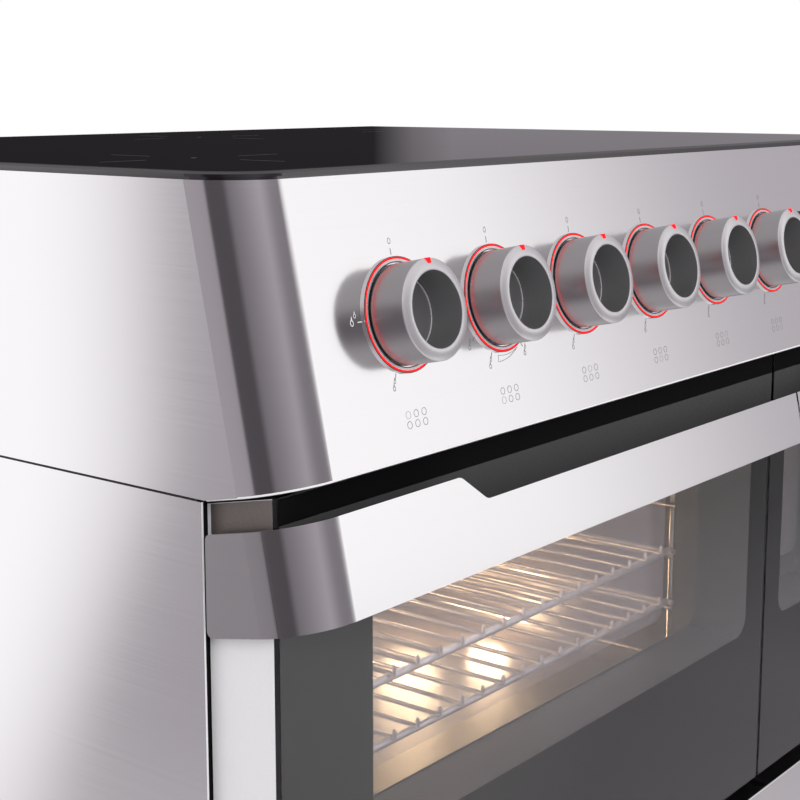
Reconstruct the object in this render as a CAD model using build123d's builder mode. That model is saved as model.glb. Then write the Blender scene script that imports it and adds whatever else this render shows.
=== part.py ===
from build123d import *
import os
from math import cos, hypot, radians, sin

# Range cooker with a flat glass hob, a slanted wrap-around control panel, two drop-down oven
# doors under one line of handle bar, and a storage drawer. Millimetres, +Z up, front towards -Y.

# Overall sizes
BODY_WIDTH = 895.0
HOB_HEIGHT = 900.0
HOB_DEPTH = 640.0
LEG_HEIGHT = 140.0

# Sheet metal
SHEET = 1.5
FLANGE = 14.0
HEM = 6.0
SEAM = 1.5
CLEARANCE = 0.4

# Slanted control panel
PANEL_TILT = 12.0
PANEL_HEIGHT = 174.0
CORNER_RADIUS = 39.0
SIDE_DROP = 13.7

# Hob
TRIM_HEIGHT = 3.0
TRIM_BEVEL = 1.4
TRIM_WIDTH = 6.0
SHADOW_GAP = 1.7
LEDGE_INSET = 4.0
LEDGE_WIDTH = 20.0
HOB_GLASS = 3.5
GLASS_BEVEL = 0.6
TRAY_INSET = 30.0
TRAY_DEPTH = 27.0
ZONE_SIDE_INSET = 124.0
ZONE_FRONT_INSET = 158.0
COIL_DIAMETER = 180.0
COIL_BORE = 40.0
COIL_CARRIER = 4.0
COIL_HEIGHT = 13.0

# Zone knobs
KNOB_COUNT = 6
KNOB_TO_DISPLAY = 59.0
KNOB_SIDE_INSET = 124.0
KNOB_RISE = 86.7
KNOB_DIAMETER = 62.5
KNOB_LENGTH = 26.7
KNOB_CROWN = 1.9
KNOB_BORE = 47.5
KNOB_FLOOR = 5.0
KNOB_LIFT = 0.6
POINTER_WIDTH = 4.6
POINTER_LENGTH = 3.6
POINTER_DEPTH = 2.4
STEM_DIAMETER = 8.0
STEM_LENGTH = 24.0
PANEL_HOLE = 14.0
BEZEL_DIAMETER = 72.0
BEZEL_HEIGHT = 1.6
BEZEL_GAP = 0.8
LED_OUTER = 70.6
LED_WIDTH = 1.7
LED_PROUD = 0.3
SWITCH_SIZE = 42.0
SWITCH_DEPTH = 26.0

# Oven display at the right of the panel
DISPLAY_SIDE_INSET = 137.0
DISPLAY_WIDTH = 150.0
DISPLAY_HEIGHT = 58.0
DISPLAY_GLASS = 1.2
DISPLAY_LIP = 6.0
DISPLAY_DEPTH = 18.0

# Lower body
BODY_SETBACK = 67.0
FRAME_SHEET = 2.0
REAR_INSET = 25.0
LOUVRE_LENGTH = 70.0
LOUVRE_HEIGHT = 6.0
LOUVRE_ROWS = 7
LOUVRE_PITCH = 16.0

# Oven doors
SIDE_OVEN_WIDTH = 255.0
DOOR_SEAM = 3.0
DOOR_GAP = 3.0
DOOR_DEPTH = 51.5
DOOR_SIDE_INSET = 8.0
DOOR_RECESS = 3.0
DOOR_TOP_GAP = 3.0
DOOR_GLASS = 4.0
DOOR_RISE = 18.0
WINDOW_OUTER_MARGIN = 81.0
WINDOW_INNER_MARGIN = 32.5
WINDOW_SILL = 144.0
WINDOW_HEAD = 24.0
WINDOW_RADIUS = 16.0
PANE_FIT = 0.2

# Handle bar
BAR_GAP = 20.0
BAR_HEIGHT = 61.4
BAR_SHEET = 2.0
NOTCH_INSET = 156.6
NOTCH_RUN = 24.2
NOTCH_DEPTH = 18.6
NOTCH_RADIUS = 9.0
BRACKET_WIDTH = 18.0
BRACKET_HEIGHT = 15.0
BRACKET_RISE = 7.0
BAR_END_GAP = 2.5
BAR_END_RADIUS = 4.0
SPACER_LENGTH = 16.0
SPACER_HEIGHT = 22.0

# Door hinges
HINGE_IN = 34.0
HINGE_UP = 38.0
HINGE_END = 60.0
HINGE_PIN = 8.0
HINGE_EYE = 9.0
HINGE_ARM = 8.0
HINGE_SLOT = 9.2
HINGE_CHEEK = 4.0
HINGE_WEB = 4.0
HINGE_ROOM = 10.0
SWEEP_GAP = 2.6

# Oven cavities
CAVITY_OVER = 6.0
CAVITY_FLOOR = 90.0
CAVITY_DEPTH = 430.0
CAVITY_RIM = 10.0
SEAL_WIDTH = 7.0
SEAL_GAP = 0.5

# Racks and their guides
GUIDE_WIRE = 5.0
GUIDE_STAND = 18.0
GUIDE_END = 6.0
LEVEL_FIRST = 20.0
LEVEL_LAST = 64.0
LEVEL_COUNT = 5
GUIDE_FOOT = 14.0
RACK_ROD = 6.0
RACK_WIRE = 3.6
RACK_PITCH = 26.7
RACK_FRONT = 9.0
RACK_BACK = 38.0
WIRE_SINK = 1.0
WELD_SINK = 0.4
RACK_PLAY = 1.5

# Convection fan, heaters and lamps
BAFFLE_SIDE_GAP = 98.0
BAFFLE_SHARE = 0.81
BAFFLE_DEPTH = 34.0
BAFFLE_RADIUS = 30.0
BAFFLE_SLOTS = 16
SLOT_SHARE = 0.2
FAN_SHARE = 0.545
HUB_SHARE = 0.175
FAN_OFFSET = 13.0
FAN_BLADES = 10
FAN_BLADE = 2.0
FAN_DEPTH = 18.0
FAN_SHAFT = 8.0
MOTOR_DIAMETER = 76.0
MOTOR_LENGTH = 58.0
RING_SHARE = 0.66
HEATER_TUBE = 6.5
GRILL_DROP = 24.0
GRILL_INSET = 60.0
GRILL_BEND = 0.45
GRILL_LANES = 4
LAMP_DIAMETER = 46.0
LAMP_HEIGHT = 12.0
LAMP_TAPER = 12.0
LAMP_RISE = 62.0
LAMP_BACK = 130.0

# Storage drawer
DRAWER_RISE = 10.0
DRAWER_SHARE = 0.277
DRAWER_SKIN = 8.0
DRAWER_EDGE = 1.5
DRAWER_SIDE_ROOM = 45.0
DRAWER_RIM = 8.0
DRAWER_WALL_DROP = 22.0
DRAWER_LENGTH = 480.0
RUNNER_RISE = 62.0
RUNNER_WIDTH = 22.0
RUNNER_HEIGHT = 32.0
RUNNER_WALL = 7.0
RUNNER_LIP = 1.6
RUNNER_MOUTH = 12.0
RUNNER_WEB = 6.0
RUNNER_START = 22.0
RUNNER_LENGTH = 470.0

# Legs
LEG_INSET = 62.0
LEG_TUBE = 48.0
LEG_WALL = 4.0
LEG_SLEEVE = 90.0
FOOT_PAD = 56.0
FOOT_PAD_HEIGHT = 8.0

# Supply terminal box on the back
TERMINAL_WIDTH = 140.0
TERMINAL_HEIGHT = 92.0
TERMINAL_DEPTH = 20.0
TERMINAL_RISE = 90.0
GLAND_DIAMETER = 16.0
GLAND_BORE = 10.0
GLAND_SIDES = 6
GLAND_LENGTH = 16.0

# Worked-out places
SIN = sin(radians(PANEL_TILT))
COS = cos(radians(PANEL_TILT))
HALF = BODY_WIDTH / 2
FRONT_REACH = (PANEL_HEIGHT + BAR_GAP + BAR_HEIGHT) * SIN
Y_PANEL_TOP = FRONT_REACH - (HOB_DEPTH + FRONT_REACH) / 2
Y_PANEL = Y_PANEL_TOP - PANEL_HEIGHT * SIN
Y_BACK = Y_PANEL_TOP + HOB_DEPTH
Y_REAR = Y_BACK - REAR_INSET
Y_BODY = Y_PANEL + BODY_SETBACK
Y_DOOR_REAR = Y_BODY + DOOR_RECESS
Y_FOLD = Y_DOOR_REAR + DOOR_GAP
Y_BAR_END = Y_BODY - BAR_END_GAP
Y_DOOR_FRONT = Y_DOOR_REAR - DOOR_DEPTH
Y_GLASS = Y_DOOR_FRONT - DOOR_GLASS
Y_HINGE = Y_DOOR_REAR - HINGE_IN
Y_FRAME = Y_FOLD + SHEET
Y_STEP = Y_HINGE + hypot(HINGE_IN, HINGE_UP) + SWEEP_GAP
Y_CAVITY = Y_FRAME + FRAME_SHEET
Y_CAVITY_BACK = Y_CAVITY + CAVITY_DEPTH
RACK_DEPTH = CAVITY_DEPTH - RACK_FRONT - RACK_BACK
Z_PANEL_TOP = HOB_HEIGHT - TRIM_HEIGHT - SHADOW_GAP
Z_PANEL = Z_PANEL_TOP - PANEL_HEIGHT * COS
Z_SEAM = Z_PANEL - SIDE_DROP
Z_SIDE_TOP = Z_SEAM - SEAM
DRAWER_HEIGHT = (Z_PANEL - LEG_HEIGHT) * DRAWER_SHARE
Z_DRAWER = LEG_HEIGHT + DRAWER_RISE
Z_DRAWER_TOP = Z_DRAWER + DRAWER_HEIGHT
Z_DOOR = Z_DRAWER_TOP + DOOR_RISE
Z_HINGE = Z_DOOR + HINGE_UP
Z_LEDGE = Z_HINGE + HINGE_IN + SWEEP_GAP
Z_SHELF = Z_DRAWER_TOP + DOOR_RISE / 3
Z_CAVITY = Z_DOOR + CAVITY_FLOOR
Z_WINDOW = Z_DOOR + WINDOW_SILL
Z_WINDOW_TOP = Z_SIDE_TOP - WINDOW_HEAD
Z_CAVITY_TOP = Z_WINDOW_TOP + CAVITY_OVER
CAVITY_RISE = Z_CAVITY_TOP - Z_CAVITY
LEVEL_PITCH = (CAVITY_RISE - LEVEL_FIRST - LEVEL_LAST) / (LEVEL_COUNT - 1)
Z_TRAY = Z_PANEL_TOP - TRAY_DEPTH
X_SPLIT = HALF - SIDE_OVEN_WIDTH
DISPLAY_X = HALF - DISPLAY_SIDE_INSET
KNOB_FIRST_X = KNOB_SIDE_INSET - HALF
KNOB_LAST_X = DISPLAY_X - DISPLAY_WIDTH / 2 - KNOB_TO_DISPLAY
KNOB_PITCH = (KNOB_LAST_X - KNOB_FIRST_X) / (KNOB_COUNT - 1)
KNOB_X = [KNOB_FIRST_X + KNOB_PITCH * i for i in range(KNOB_COUNT)]
ZONE_X = [ZONE_SIDE_INSET - HALF, 0.0, HALF - ZONE_SIDE_INSET]
ZONE_Y = [Y_PANEL_TOP + ZONE_FRONT_INSET, Y_BACK - ZONE_FRONT_INSET]
LEG_SPOTS = [
    (side * (HALF - LEG_INSET), y)
    for y in (Y_BODY + LEG_INSET, Y_REAR - LEG_INSET)
    for side in (-1, 1)
]

os.makedirs("parts", exist_ok=True)


def keep(part, name):
    part.label = name
    export_step(part, f"parts/{name}.step")


def slant(s, n=0.0):
    """Y and Z of a point s up the panel's slope and n behind its outer face."""
    return Y_PANEL + s * SIN + n * COS, Z_PANEL + s * COS - n * SIN


def section_plane(s):
    """A plane square to the slope: X to the right, Y backwards, normal up the slope."""
    y, z = slant(s)
    return Plane(origin=(0, y, z), x_dir=(1, 0, 0), z_dir=(0, SIN, COS))


def face_plane(s, n=0.0):
    """A plane in the panel's face, with its normal outwards."""
    y, z = slant(s, n)
    return Plane(origin=(0, y, z), x_dir=(1, 0, 0), z_dir=(0, -COS, SIN))


def front_plane(y):
    """A vertical plane that faces the front: sketch X and Y are the cooker's X and Z."""
    return Plane(origin=(0, y, 0), x_dir=(1, 0, 0), z_dir=(0, -1, 0))


def span(x0, x1, y0, y1, mode=Mode.ADD):
    """A sketch rectangle between two corners."""
    with Locations(((x0 + x1) / 2, (y0 + y1) / 2)):
        Rectangle(x1 - x0, y1 - y0, mode=mode)


def rounded_span(x0, x1, y0, y1, radius, mode=Mode.ADD):
    """A sketch rectangle with round corners between two corners."""
    with Locations(((x0 + x1) / 2, (y0 + y1) / 2)):
        RectangleRounded(x1 - x0, y1 - y0, radius, mode=mode)


def casing_solid(wall, overrun):
    """The upper casing's outer form, drawn in by a wall, and run past the back."""
    low = Z_SEAM + wall
    knee_n = (Z_PANEL + wall * COS - low) / SIN
    front_y, front_z = slant(wall, -CORNER_RADIUS)
    knee_y, knee_z = slant(wall, knee_n)
    prism_base = -2 * CORNER_RADIUS
    with BuildPart() as solid:
        with BuildSketch(section_plane(prism_base)) as outline:
            span(wall - HALF, HALF - wall, wall, 2 * HOB_DEPTH)
            fillet(outline.vertices().group_by(Axis.Y)[0], CORNER_RADIUS - wall)
        extrude(amount=2 * HOB_DEPTH)
        with BuildSketch(Plane.YZ):
            with BuildLine():
                Polyline(
                    (front_y, front_z),
                    (knee_y, knee_z),
                    (Y_BACK + overrun, low),
                    (Y_BACK + overrun, Z_PANEL_TOP - wall),
                    (front_y, Z_PANEL_TOP - wall),
                    close=True,
                )
            make_face()
        extrude(amount=BODY_WIDTH, both=True, mode=Mode.INTERSECT)
    return solid.part


def hob_outline(inset, mode=Mode.ADD):
    """The hob's plan outline, drawn in by an inset, with round front corners."""
    y0 = Y_PANEL_TOP + inset
    y1 = Y_BACK - inset
    with BuildSketch(mode=Mode.PRIVATE) as plan:
        span(inset - HALF, HALF - inset, y0, y1)
        fillet(plan.vertices().group_by(Axis.Y)[0], max(CORNER_RADIUS - inset, TRIM_HEIGHT))
    add(plan.sketch, mode=mode)


# Wrap-around control panel and upper sides, one bent sheet with inward flanges

with BuildPart() as control_panel:
    add(casing_solid(0, 0))
    add(casing_solid(SHEET, FLANGE), mode=Mode.SUBTRACT)
    with BuildSketch(Plane.XY.offset(Z_PANEL_TOP)):
        span(FLANGE - HALF, HALF - FLANGE, Y_PANEL_TOP + FLANGE, Y_BACK + FLANGE)
    extrude(amount=-2 * SHEET, mode=Mode.SUBTRACT)
    with BuildSketch(Plane.XY.offset(Z_SEAM)):
        span(FLANGE - HALF, HALF - FLANGE, Y_BODY + FLANGE, Y_BACK + FLANGE)
        span(SHEET - HALF, HALF - SHEET, Y_REAR - SHEET, Y_BACK + FLANGE)
    extrude(amount=SHEET, mode=Mode.SUBTRACT)
    with BuildSketch(face_plane(KNOB_RISE)):
        with Locations(*[(x, 0) for x in KNOB_X]):
            Circle(PANEL_HOLE / 2)
        with Locations((DISPLAY_X, 0)):
            Rectangle(DISPLAY_WIDTH - 2 * DISPLAY_LIP, DISPLAY_HEIGHT - 2 * DISPLAY_LIP)
    extrude(amount=-3 * SHEET, mode=Mode.SUBTRACT)
keep(control_panel.part, "control_panel")

# Hob: trim frame, glass plate, tray and coils

with BuildPart() as hob_trim:
    with BuildSketch(Plane.XY.offset(HOB_HEIGHT - TRIM_HEIGHT)):
        hob_outline(0)
        hob_outline(TRIM_WIDTH, mode=Mode.SUBTRACT)
    extrude(amount=TRIM_HEIGHT)
    chamfer(hob_trim.faces().sort_by(Axis.Z)[-1].outer_wire().edges(), TRIM_BEVEL)
    with BuildSketch(Plane.XY.offset(Z_PANEL_TOP)):
        hob_outline(LEDGE_INSET)
        hob_outline(TRIM_WIDTH, mode=Mode.SUBTRACT)
    extrude(amount=SHADOW_GAP)
    with BuildSketch(Plane.XY.offset(Z_PANEL_TOP)):
        hob_outline(LEDGE_INSET)
        hob_outline(LEDGE_INSET + LEDGE_WIDTH, mode=Mode.SUBTRACT)
    extrude(amount=HOB_HEIGHT - HOB_GLASS - Z_PANEL_TOP)
keep(hob_trim.part, "hob_trim")

with BuildPart() as hob_glass:
    with BuildSketch(Plane.XY.offset(HOB_HEIGHT - HOB_GLASS)):
        hob_outline(TRIM_WIDTH)
    extrude(amount=HOB_GLASS)
    chamfer(hob_glass.faces().sort_by(Axis.Z)[-1].edges(), GLASS_BEVEL)
keep(hob_glass.part, "hob_glass")

with BuildPart() as coil_tray:
    with BuildSketch(Plane.XY.offset(Z_TRAY)):
        hob_outline(TRAY_INSET)
    extrude(amount=TRAY_DEPTH)
    with BuildSketch(Plane.XY.offset(Z_TRAY + SHEET)):
        hob_outline(TRAY_INSET + SHEET)
    extrude(amount=TRAY_DEPTH, mode=Mode.SUBTRACT)
    with BuildSketch(Plane.XY.offset(Z_PANEL_TOP - SHEET)):
        hob_outline(FLANGE + SHEET)
        hob_outline(TRAY_INSET + SHEET, mode=Mode.SUBTRACT)
    extrude(amount=SHEET)
keep(coil_tray.part, "coil_tray")

with BuildPart() as induction_coils:
    zones = [(x, y) for y in ZONE_Y for x in ZONE_X]
    with BuildSketch(Plane.XY.offset(Z_TRAY + SHEET)):
        with Locations(*zones):
            Circle(COIL_DIAMETER / 2)
            Circle(COIL_BORE / 4, mode=Mode.SUBTRACT)
    extrude(amount=COIL_CARRIER)
    with BuildSketch(Plane.XY.offset(Z_TRAY + SHEET + COIL_CARRIER)):
        with Locations(*zones):
            Circle(COIL_DIAMETER / 2 - COIL_CARRIER)
            Circle(COIL_BORE / 2, mode=Mode.SUBTRACT)
    extrude(amount=COIL_HEIGHT - COIL_CARRIER)
keep(induction_coils.part, "induction_coils")

# Zone knobs: a deep cup with a coned rim, a pointer notch at the top and a stem into the switch

for index, knob_x in enumerate(KNOB_X):
    axis_y, axis_z = slant(KNOB_RISE)
    knob_axis = Axis((knob_x, axis_y, axis_z), (0, -COS, SIN))
    radial = Plane(origin=(knob_x, axis_y, axis_z), x_dir=(1, 0, 0), z_dir=(0, -SIN, -COS))
    with BuildPart() as knob:
        with BuildSketch(radial):
            with BuildLine():
                Polyline(
                    (0, -STEM_LENGTH),
                    (STEM_DIAMETER / 2, -STEM_LENGTH),
                    (STEM_DIAMETER / 2, KNOB_LIFT),
                    (KNOB_DIAMETER / 2, KNOB_LIFT),
                    (KNOB_DIAMETER / 2, KNOB_LENGTH),
                    (KNOB_BORE / 2, KNOB_LENGTH + KNOB_CROWN),
                    (KNOB_BORE / 2, KNOB_FLOOR),
                    (0, KNOB_FLOOR),
                    close=True,
                )
            make_face()
        revolve(axis=knob_axis)
        with BuildSketch(face_plane(KNOB_RISE, -KNOB_LENGTH - KNOB_CROWN)):
            with Locations((knob_x, KNOB_DIAMETER / 2)):
                Rectangle(POINTER_WIDTH, 2 * POINTER_LENGTH)
        extrude(amount=-POINTER_DEPTH, mode=Mode.SUBTRACT)
    keep(knob.part, f"knob_{index + 1}")

with BuildPart() as knob_bezels:
    with BuildSketch(face_plane(KNOB_RISE)):
        with Locations(*[(x, 0) for x in KNOB_X]):
            Circle(BEZEL_DIAMETER / 2)
            Circle(KNOB_DIAMETER / 2 + BEZEL_GAP, mode=Mode.SUBTRACT)
    extrude(amount=BEZEL_HEIGHT)
    with BuildSketch(face_plane(KNOB_RISE, -BEZEL_HEIGHT / 2)):
        with Locations(*[(x, 0) for x in KNOB_X]):
            Circle(LED_OUTER / 2)
            Circle(LED_OUTER / 2 - LED_WIDTH, mode=Mode.SUBTRACT)
    extrude(amount=BEZEL_HEIGHT, mode=Mode.SUBTRACT)
keep(knob_bezels.part, "knob_bezels")

with BuildPart() as led_rings:
    with BuildSketch(face_plane(KNOB_RISE, -BEZEL_HEIGHT / 2)):
        with Locations(*[(x, 0) for x in KNOB_X]):
            Circle(LED_OUTER / 2)
            Circle(LED_OUTER / 2 - LED_WIDTH, mode=Mode.SUBTRACT)
    extrude(amount=BEZEL_HEIGHT / 2 + LED_PROUD)
keep(led_rings.part, "led_rings")

with BuildPart() as zone_switches:
    with BuildSketch(face_plane(KNOB_RISE, SHEET)):
        with Locations(*[(x, 0) for x in KNOB_X]):
            Rectangle(SWITCH_SIZE, SWITCH_SIZE)
            Circle(STEM_DIAMETER / 2 + CLEARANCE, mode=Mode.SUBTRACT)
    extrude(amount=-SWITCH_DEPTH)
keep(zone_switches.part, "zone_switches")

# Touch display of the ovens

with BuildPart() as display_glass:
    with BuildSketch(face_plane(KNOB_RISE)):
        with Locations((DISPLAY_X, 0)):
            RectangleRounded(DISPLAY_WIDTH, DISPLAY_HEIGHT, DISPLAY_LIP)
    extrude(amount=DISPLAY_GLASS)
keep(display_glass.part, "display_glass")

with BuildPart() as display_module:
    with BuildSketch(face_plane(KNOB_RISE, SHEET)):
        with Locations((DISPLAY_X, 0)):
            Rectangle(DISPLAY_WIDTH, DISPLAY_HEIGHT)
    extrude(amount=-DISPLAY_DEPTH)
keep(display_module.part, "display_module")

# Lower sides, with a folded front edge that is cut away where the doors' feet swing in

for side, name in ((-1, "left"), (1, "right")):
    sweep_low = Z_HINGE - hypot(HINGE_IN, HINGE_UP) - SWEEP_GAP
    outer = side * HALF
    inner = side * (HALF - SHEET)
    folded = side * (HALF - FLANGE)
    hemmed = side * (HALF - HEM)
    with BuildPart() as side_panel:
        with BuildSketch(front_plane(Y_BODY)):
            span(min(outer, inner), max(outer, inner), LEG_HEIGHT, Z_SIDE_TOP)
        extrude(amount=Y_BODY - Y_BACK)
        with BuildSketch(front_plane(Y_FOLD)):
            span(min(outer, hemmed), max(outer, hemmed), LEG_HEIGHT, sweep_low)
            span(min(outer, folded), max(outer, folded), Z_LEDGE, Z_SIDE_TOP)
        extrude(amount=-SHEET)
        with BuildSketch(front_plane(Y_FOLD)):
            span(min(outer, folded), max(outer, folded), Z_SIDE_TOP - SHEET, Z_SIDE_TOP)
        extrude(amount=Y_FOLD - Y_REAR + SHEET)
    keep(side_panel.part, f"side_panel_{name}")

# Deck between the hob electronics and the ovens, seen as the dark seam round the sides

with BuildPart() as chassis_deck:
    with BuildSketch(Plane.XY.offset(Z_SIDE_TOP)):
        span(LEDGE_INSET - HALF, HALF - LEDGE_INSET, Y_FOLD, Y_REAR - SHEET)
    extrude(amount=SEAM)
keep(chassis_deck.part, "chassis_deck")

with BuildPart() as rear_panel:
    with BuildSketch(front_plane(Y_REAR)):
        span(SHEET - HALF, HALF - SHEET, LEG_HEIGHT, Z_PANEL_TOP - SHEET)
        with Locations((0, Z_SEAM - LOUVRE_ROWS * LOUVRE_PITCH)):
            with GridLocations(3 * LOUVRE_LENGTH, LOUVRE_PITCH, 3, LOUVRE_ROWS):
                SlotOverall(LOUVRE_LENGTH, LOUVRE_HEIGHT, mode=Mode.SUBTRACT)
    extrude(amount=SHEET)
keep(rear_panel.part, "rear_panel")

with BuildPart() as base_pan:
    with BuildSketch(Plane.XY.offset(LEG_HEIGHT)):
        span(SHEET - HALF, HALF - SHEET, Y_FRAME, Y_REAR - SHEET)
    extrude(amount=FRAME_SHEET)
keep(base_pan.part, "base_pan")

with BuildPart() as oven_shelf:
    with BuildSketch(Plane.XY.offset(Z_SHELF - SHEET)):
        span(SHEET - HALF, HALF - SHEET, Y_STEP, Y_REAR - SHEET)
    extrude(amount=SHEET)
keep(oven_shelf.part, "oven_shelf")

# Doors: body side first, then split side, for the main oven and the narrow side oven

DOORS = {
    "main": {
        "x0": DOOR_SIDE_INSET - HALF,
        "x1": X_SPLIT - DOOR_SEAM / 2,
        "window": (WINDOW_OUTER_MARGIN - HALF, X_SPLIT - WINDOW_INNER_MARGIN),
        "hinges": (HINGE_END - HALF, X_SPLIT - HINGE_END),
    },
    "side": {
        "x0": X_SPLIT + DOOR_SEAM / 2,
        "x1": HALF - DOOR_SIDE_INSET,
        "window": (X_SPLIT + WINDOW_INNER_MARGIN, HALF - WINDOW_OUTER_MARGIN),
        "hinges": (X_SPLIT + HINGE_END, HALF - HINGE_END),
    },
}

# Front frame of the ovens: upper plate with the two mouths, stepped back below for the doors' feet

with BuildPart() as front_frame:
    with BuildSketch(front_plane(Y_FRAME)):
        span(SHEET - HALF, HALF - SHEET, Z_LEDGE, Z_SIDE_TOP - SHEET)
        for door in DOORS.values():
            x0, x1 = door["window"]
            rounded_span(x0 - CAVITY_OVER, x1 + CAVITY_OVER, Z_CAVITY, Z_CAVITY_TOP,
                         WINDOW_RADIUS, mode=Mode.SUBTRACT)
    extrude(amount=-FRAME_SHEET)
    with BuildSketch(Plane.XY.offset(Z_LEDGE)):
        span(SHEET - HALF, HALF - SHEET, Y_FRAME, Y_STEP + FRAME_SHEET)
    extrude(amount=FRAME_SHEET)
    with BuildSketch(front_plane(Y_STEP)):
        span(SHEET - HALF, HALF - SHEET, Z_SHELF, Z_LEDGE + FRAME_SHEET)
    extrude(amount=-FRAME_SHEET)
keep(front_frame.part, "front_frame")


def door_top(y):
    """Height of a door's sloping top at a depth, a gap below the panel's lower edge."""
    n = (y - Y_PANEL + DOOR_TOP_GAP * SIN) / COS
    return slant(-DOOR_TOP_GAP, n)[1]


def handle_bar(x0, x1):
    """A strip of the panel's own wrapped surface, with half of the long finger notch."""
    low = BAR_GAP + BAR_HEIGHT
    notch_x = HALF - NOTCH_INSET
    with BuildPart() as bar:
        with BuildSketch(section_plane(-low)):
            with BuildSketch(mode=Mode.PRIVATE) as outer:
                span(-HALF, HALF, 0, HOB_DEPTH)
                fillet(outer.vertices().group_by(Axis.Y)[0], CORNER_RADIUS)
            add(outer.sketch)
            with BuildSketch(mode=Mode.PRIVATE) as inner:
                span(BAR_SHEET - HALF, HALF - BAR_SHEET, BAR_SHEET, 2 * HOB_DEPTH)
                fillet(inner.vertices().group_by(Axis.Y)[0], CORNER_RADIUS - BAR_SHEET)
            add(inner.sketch, mode=Mode.SUBTRACT)
            span(x0, x1, -HOB_DEPTH, 2 * HOB_DEPTH, mode=Mode.INTERSECT)
        extrude(amount=BAR_HEIGHT)
        split(bisect_by=Plane(origin=(0, Y_BAR_END, 0), z_dir=(0, 1, 0)), keep=Keep.BOTTOM)
        with BuildSketch(face_plane(-BAR_GAP)) as notch:
            with BuildLine():
                Polyline(
                    (-HALF, 0),
                    (-notch_x, 0),
                    (NOTCH_RUN - notch_x, -NOTCH_DEPTH),
                    (notch_x - NOTCH_RUN, -NOTCH_DEPTH),
                    (notch_x, 0),
                    (HALF, 0),
                    (HALF, NOTCH_DEPTH),
                    (-HALF, NOTCH_DEPTH),
                    close=True,
                )
            make_face()
            corners = [v for v in notch.vertices() if abs(v.X) < HALF - NOTCH_RADIUS]
            fillet(corners, NOTCH_RADIUS)
        extrude(amount=BODY_SETBACK / 2, both=True, mode=Mode.SUBTRACT)
        fillet(bar.edges().filter_by(Axis.X).group_by(Axis.Y)[-1], BAR_END_RADIUS)
    return bar.part


def bar_brackets(spots, side):
    """Stand-offs between glass and bar, and a spacer behind the bar's wrapped end."""
    low = BRACKET_RISE - BAR_GAP - BAR_HEIGHT
    high = low + BRACKET_HEIGHT
    low_y, low_z = slant(low, BAR_SHEET)
    high_y, high_z = slant(high, BAR_SHEET)
    with BuildPart() as brackets:
        for x in spots:
            with BuildSketch(Plane.YZ.offset(x - BRACKET_WIDTH / 2)):
                with BuildLine():
                    Polyline((Y_GLASS, low_z), (low_y, low_z), (high_y, high_z),
                             (Y_GLASS, high_z), close=True)
                make_face()
            extrude(amount=BRACKET_WIDTH)
        middle = -BAR_GAP - BAR_HEIGHT / 2
        spacer_n = (Y_BAR_END - SPACER_LENGTH - Y_PANEL - middle * SIN) / COS
        spacer_y, spacer_z = slant(middle, spacer_n)
        with BuildSketch(Plane.YZ.offset(side * (HALF - DOOR_SIDE_INSET))):
            with Locations((spacer_y, spacer_z)):
                Rectangle(SPACER_LENGTH, SPACER_HEIGHT)
        extrude(amount=side * (DOOR_SIDE_INSET - BAR_SHEET))
    return brackets.part


def door_frame(x0, x1, window, hinges):
    """Sheet tray, open to the front, with a window tunnel and cut-outs for the hinges."""
    hinge_half = HINGE_SLOT / 2 + HINGE_CHEEK
    with BuildPart() as frame:
        with BuildSketch(Plane.YZ.offset(x0)):
            with BuildLine():
                Polyline(
                    (Y_DOOR_FRONT, Z_DOOR),
                    (Y_DOOR_REAR, Z_DOOR),
                    (Y_DOOR_REAR, door_top(Y_DOOR_REAR)),
                    (Y_DOOR_FRONT, door_top(Y_DOOR_FRONT)),
                    close=True,
                )
            make_face()
        extrude(amount=x1 - x0)
        with BuildSketch(front_plane(Y_DOOR_REAR)):
            rounded_span(*window, Z_WINDOW, Z_WINDOW_TOP, WINDOW_RADIUS)
        extrude(amount=DOOR_DEPTH, mode=Mode.SUBTRACT)
        with BuildSketch(front_plane(Y_DOOR_REAR - SHEET)):
            span(x0 + SHEET, x1 - SHEET, Z_DOOR + SHEET, door_top(Y_DOOR_REAR) - SHEET)
            rounded_span(window[0] - SHEET, window[1] + SHEET, Z_WINDOW - SHEET,
                         Z_WINDOW_TOP + SHEET, WINDOW_RADIUS + SHEET, mode=Mode.SUBTRACT)
        extrude(amount=DOOR_DEPTH, mode=Mode.SUBTRACT)
        with BuildSketch(front_plane(Y_DOOR_REAR)):
            for x in hinges:
                span(x - hinge_half, x + hinge_half, Z_DOOR, Z_HINGE + HINGE_ROOM + HINGE_WEB)
        extrude(amount=HINGE_IN + HINGE_ROOM + HINGE_WEB, mode=Mode.SUBTRACT)
    return frame.part


def door_hinges(hinges):
    """Clevises let into the door's foot, each with its pin across."""
    hinge_half = HINGE_SLOT / 2 + HINGE_CHEEK
    with BuildPart() as clevises:
        with BuildSketch(front_plane(Y_DOOR_REAR)):
            for x in hinges:
                span(x - hinge_half, x + hinge_half, Z_DOOR, Z_HINGE + HINGE_ROOM + HINGE_WEB)
        extrude(amount=HINGE_IN + HINGE_ROOM + HINGE_WEB)
        with BuildSketch(front_plane(Y_DOOR_REAR)):
            for x in hinges:
                span(x - HINGE_SLOT / 2, x + HINGE_SLOT / 2, Z_DOOR, Z_HINGE + HINGE_ROOM)
        extrude(amount=HINGE_IN + HINGE_ROOM, mode=Mode.SUBTRACT)
        for x in hinges:
            with BuildSketch(Plane.YZ.offset(x - hinge_half)):
                with Locations((Y_HINGE, Z_HINGE)):
                    Circle(HINGE_PIN / 2)
            extrude(amount=2 * hinge_half)
    return clevises.part


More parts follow.
